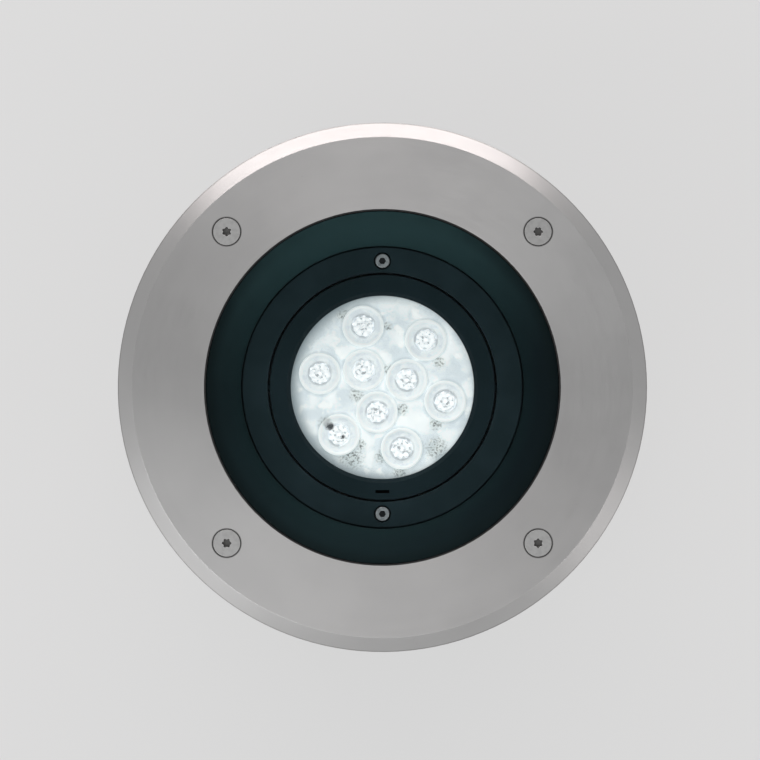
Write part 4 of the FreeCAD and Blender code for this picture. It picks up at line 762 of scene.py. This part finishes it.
# Studio: a pale grey floor that keeps a faint shadow, and a soft grey surround with a small dark card
# right overhead, which the flat glass mirrors. Five soft lamps stand round the light.
BACKDROP = (0.708, 0.708, 0.708)
UPPER_GREY = (0.433, 0.433, 0.433)
TOP_GREY = (0.475, 0.475, 0.475)
CARD_BLACK = (0.02, 0.022, 0.022)
# Where the surround's greys change, as sines of the elevation, and the card's edge, as degrees from
# straight up.
UPPER_FADE = (0.08, 0.44)
TOP_FADE = (0.55, 0.90)
CARD_EDGE = (9, 5)
FLOOR_HALF = 6.0
FLOOR_DROP = 0.0003
FLOOR_GLOW_SHARE = 0.75
FLOOR_GLOW = 1.06

floor_mesh = bpy.data.meshes.new("floor")
corners = [(x * FLOOR_HALF, y * FLOOR_HALF, 0) for x, y in ((-1, -1), (1, -1), (1, 1), (-1, 1))]
floor_mesh.from_pydata(corners, [], [(0, 1, 2, 3)])
floor = bpy.data.objects.new("floor", floor_mesh)
floor.location.z = -FLOOR_DROP
bpy.context.scene.collection.objects.link(floor)
floor_grey = Finish("floor_grey")
camera_ray = floor_grey.node("LightPath", {}, {}, "Is Camera Ray")
glossy_ray = floor_grey.node("LightPath", {}, {}, "Is Glossy Ray")
transmission_ray = floor_grey.node("LightPath", {}, {}, "Is Transmission Ray")
seen = floor_grey.between(camera_ray + glossy_ray + transmission_ray, 0, 1)
floor_grey.show(floor_grey.node("MixShader", {}, {
    0: seen * FLOOR_GLOW_SHARE,
    1: floor_grey.node("BsdfDiffuse", {}, {"Color": BACKDROP}),
    2: floor_grey.node("Emission", {}, {"Color": BACKDROP, "Strength": FLOOR_GLOW})}))
floor.data.materials.append(floor_grey.owner)

surround = Finish("surround", bpy.data.worlds.new("surround"))
bpy.context.scene.world = surround.owner
upward = surround.axis(2, surround.node("TexCoord", {}, {}, "Generated"))
card_edge = [math.cos(math.radians(angle)) for angle in CARD_EDGE]
sky = surround.mix(surround.between(upward, *UPPER_FADE), BACKDROP, UPPER_GREY)
sky = surround.mix(surround.between(upward, *TOP_FADE), sky, TOP_GREY)
sky = surround.mix(surround.between(upward, *card_edge), sky, CARD_BLACK)
surround.node("OutputWorld", {}, {"Surface": surround.node("Background", {}, {"Color": sky})})


def lamp(name, azimuth, elevation, away, width, height, watts, colour=(1.0, 1.0, 1.0)):
    """A rectangular lamp that faces the middle of the ring's top, from that many degrees round and up.

    away is its distance, which like its width and height is in metres.
    """
    light = bpy.data.lights.new(name, "AREA")
    light.shape = "RECTANGLE"
    light.size = width
    light.size_y = height
    light.energy = watts
    light.color = colour
    stand = bpy.data.objects.new(name, light)
    bpy.context.scene.collection.objects.link(stand)
    turn = math.radians(azimuth)
    rise = math.radians(elevation)
    towards = Vector((math.cos(turn) * math.cos(rise), math.sin(turn) * math.cos(rise), math.sin(rise)))
    stand.location = Vector((0, 0, ring_top)) + towards * away
    stand.rotation_euler = towards.to_track_quat("Z", "Y").to_euler()


lamp("lamp_back", 94, 29, 1.6, 2.20, 0.45, 13.4, (1.0, 0.915, 0.90))
lamp("lamp_front", 270, 60, 1.8, 0.9, 0.7, 2.2)
lamp("lamp_left", 221, 51, 1.8, 1.0, 0.9, 6.7)
lamp("lamp_right", 328, 42, 1.8, 0.6, 0.5, 2.4, (1.0, 0.96, 0.95))
lamp("lamp_high", 112, 64, 1.8, 0.8, 0.6, 0.9)


# Camera: straight above the light, as the photograph was taken, from so far that the sides of the rings
# hardly show. The ring's width and centre in the photograph give the camera's lens and its small shift.
PHOTO_WIDTH = 760
RING_PIXELS = 530
RING_CENTRE = (382.4, 387.4)
VIEW_HEIGHT = 2.5
SENSOR = 36.0
camera_data = bpy.data.cameras.new("camera")
ring_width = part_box("trim_ring")[1].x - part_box("trim_ring")[0].x
view_width = ring_width * PHOTO_WIDTH / RING_PIXELS
camera_data.sensor_width = SENSOR
camera_data.lens = SENSOR * VIEW_HEIGHT / view_width
camera_data.shift_x = (PHOTO_WIDTH / 2 - RING_CENTRE[0]) / PHOTO_WIDTH
camera_data.shift_y = (RING_CENTRE[1] - PHOTO_WIDTH / 2) / PHOTO_WIDTH
camera_data.clip_end = 100
camera = bpy.data.objects.new("camera", camera_data)
camera.location = (0, 0, ring_top + VIEW_HEIGHT)
bpy.context.scene.collection.objects.link(camera)
bpy.context.scene.camera = camera
bpy.context.scene.view_settings.view_transform = "Standard"
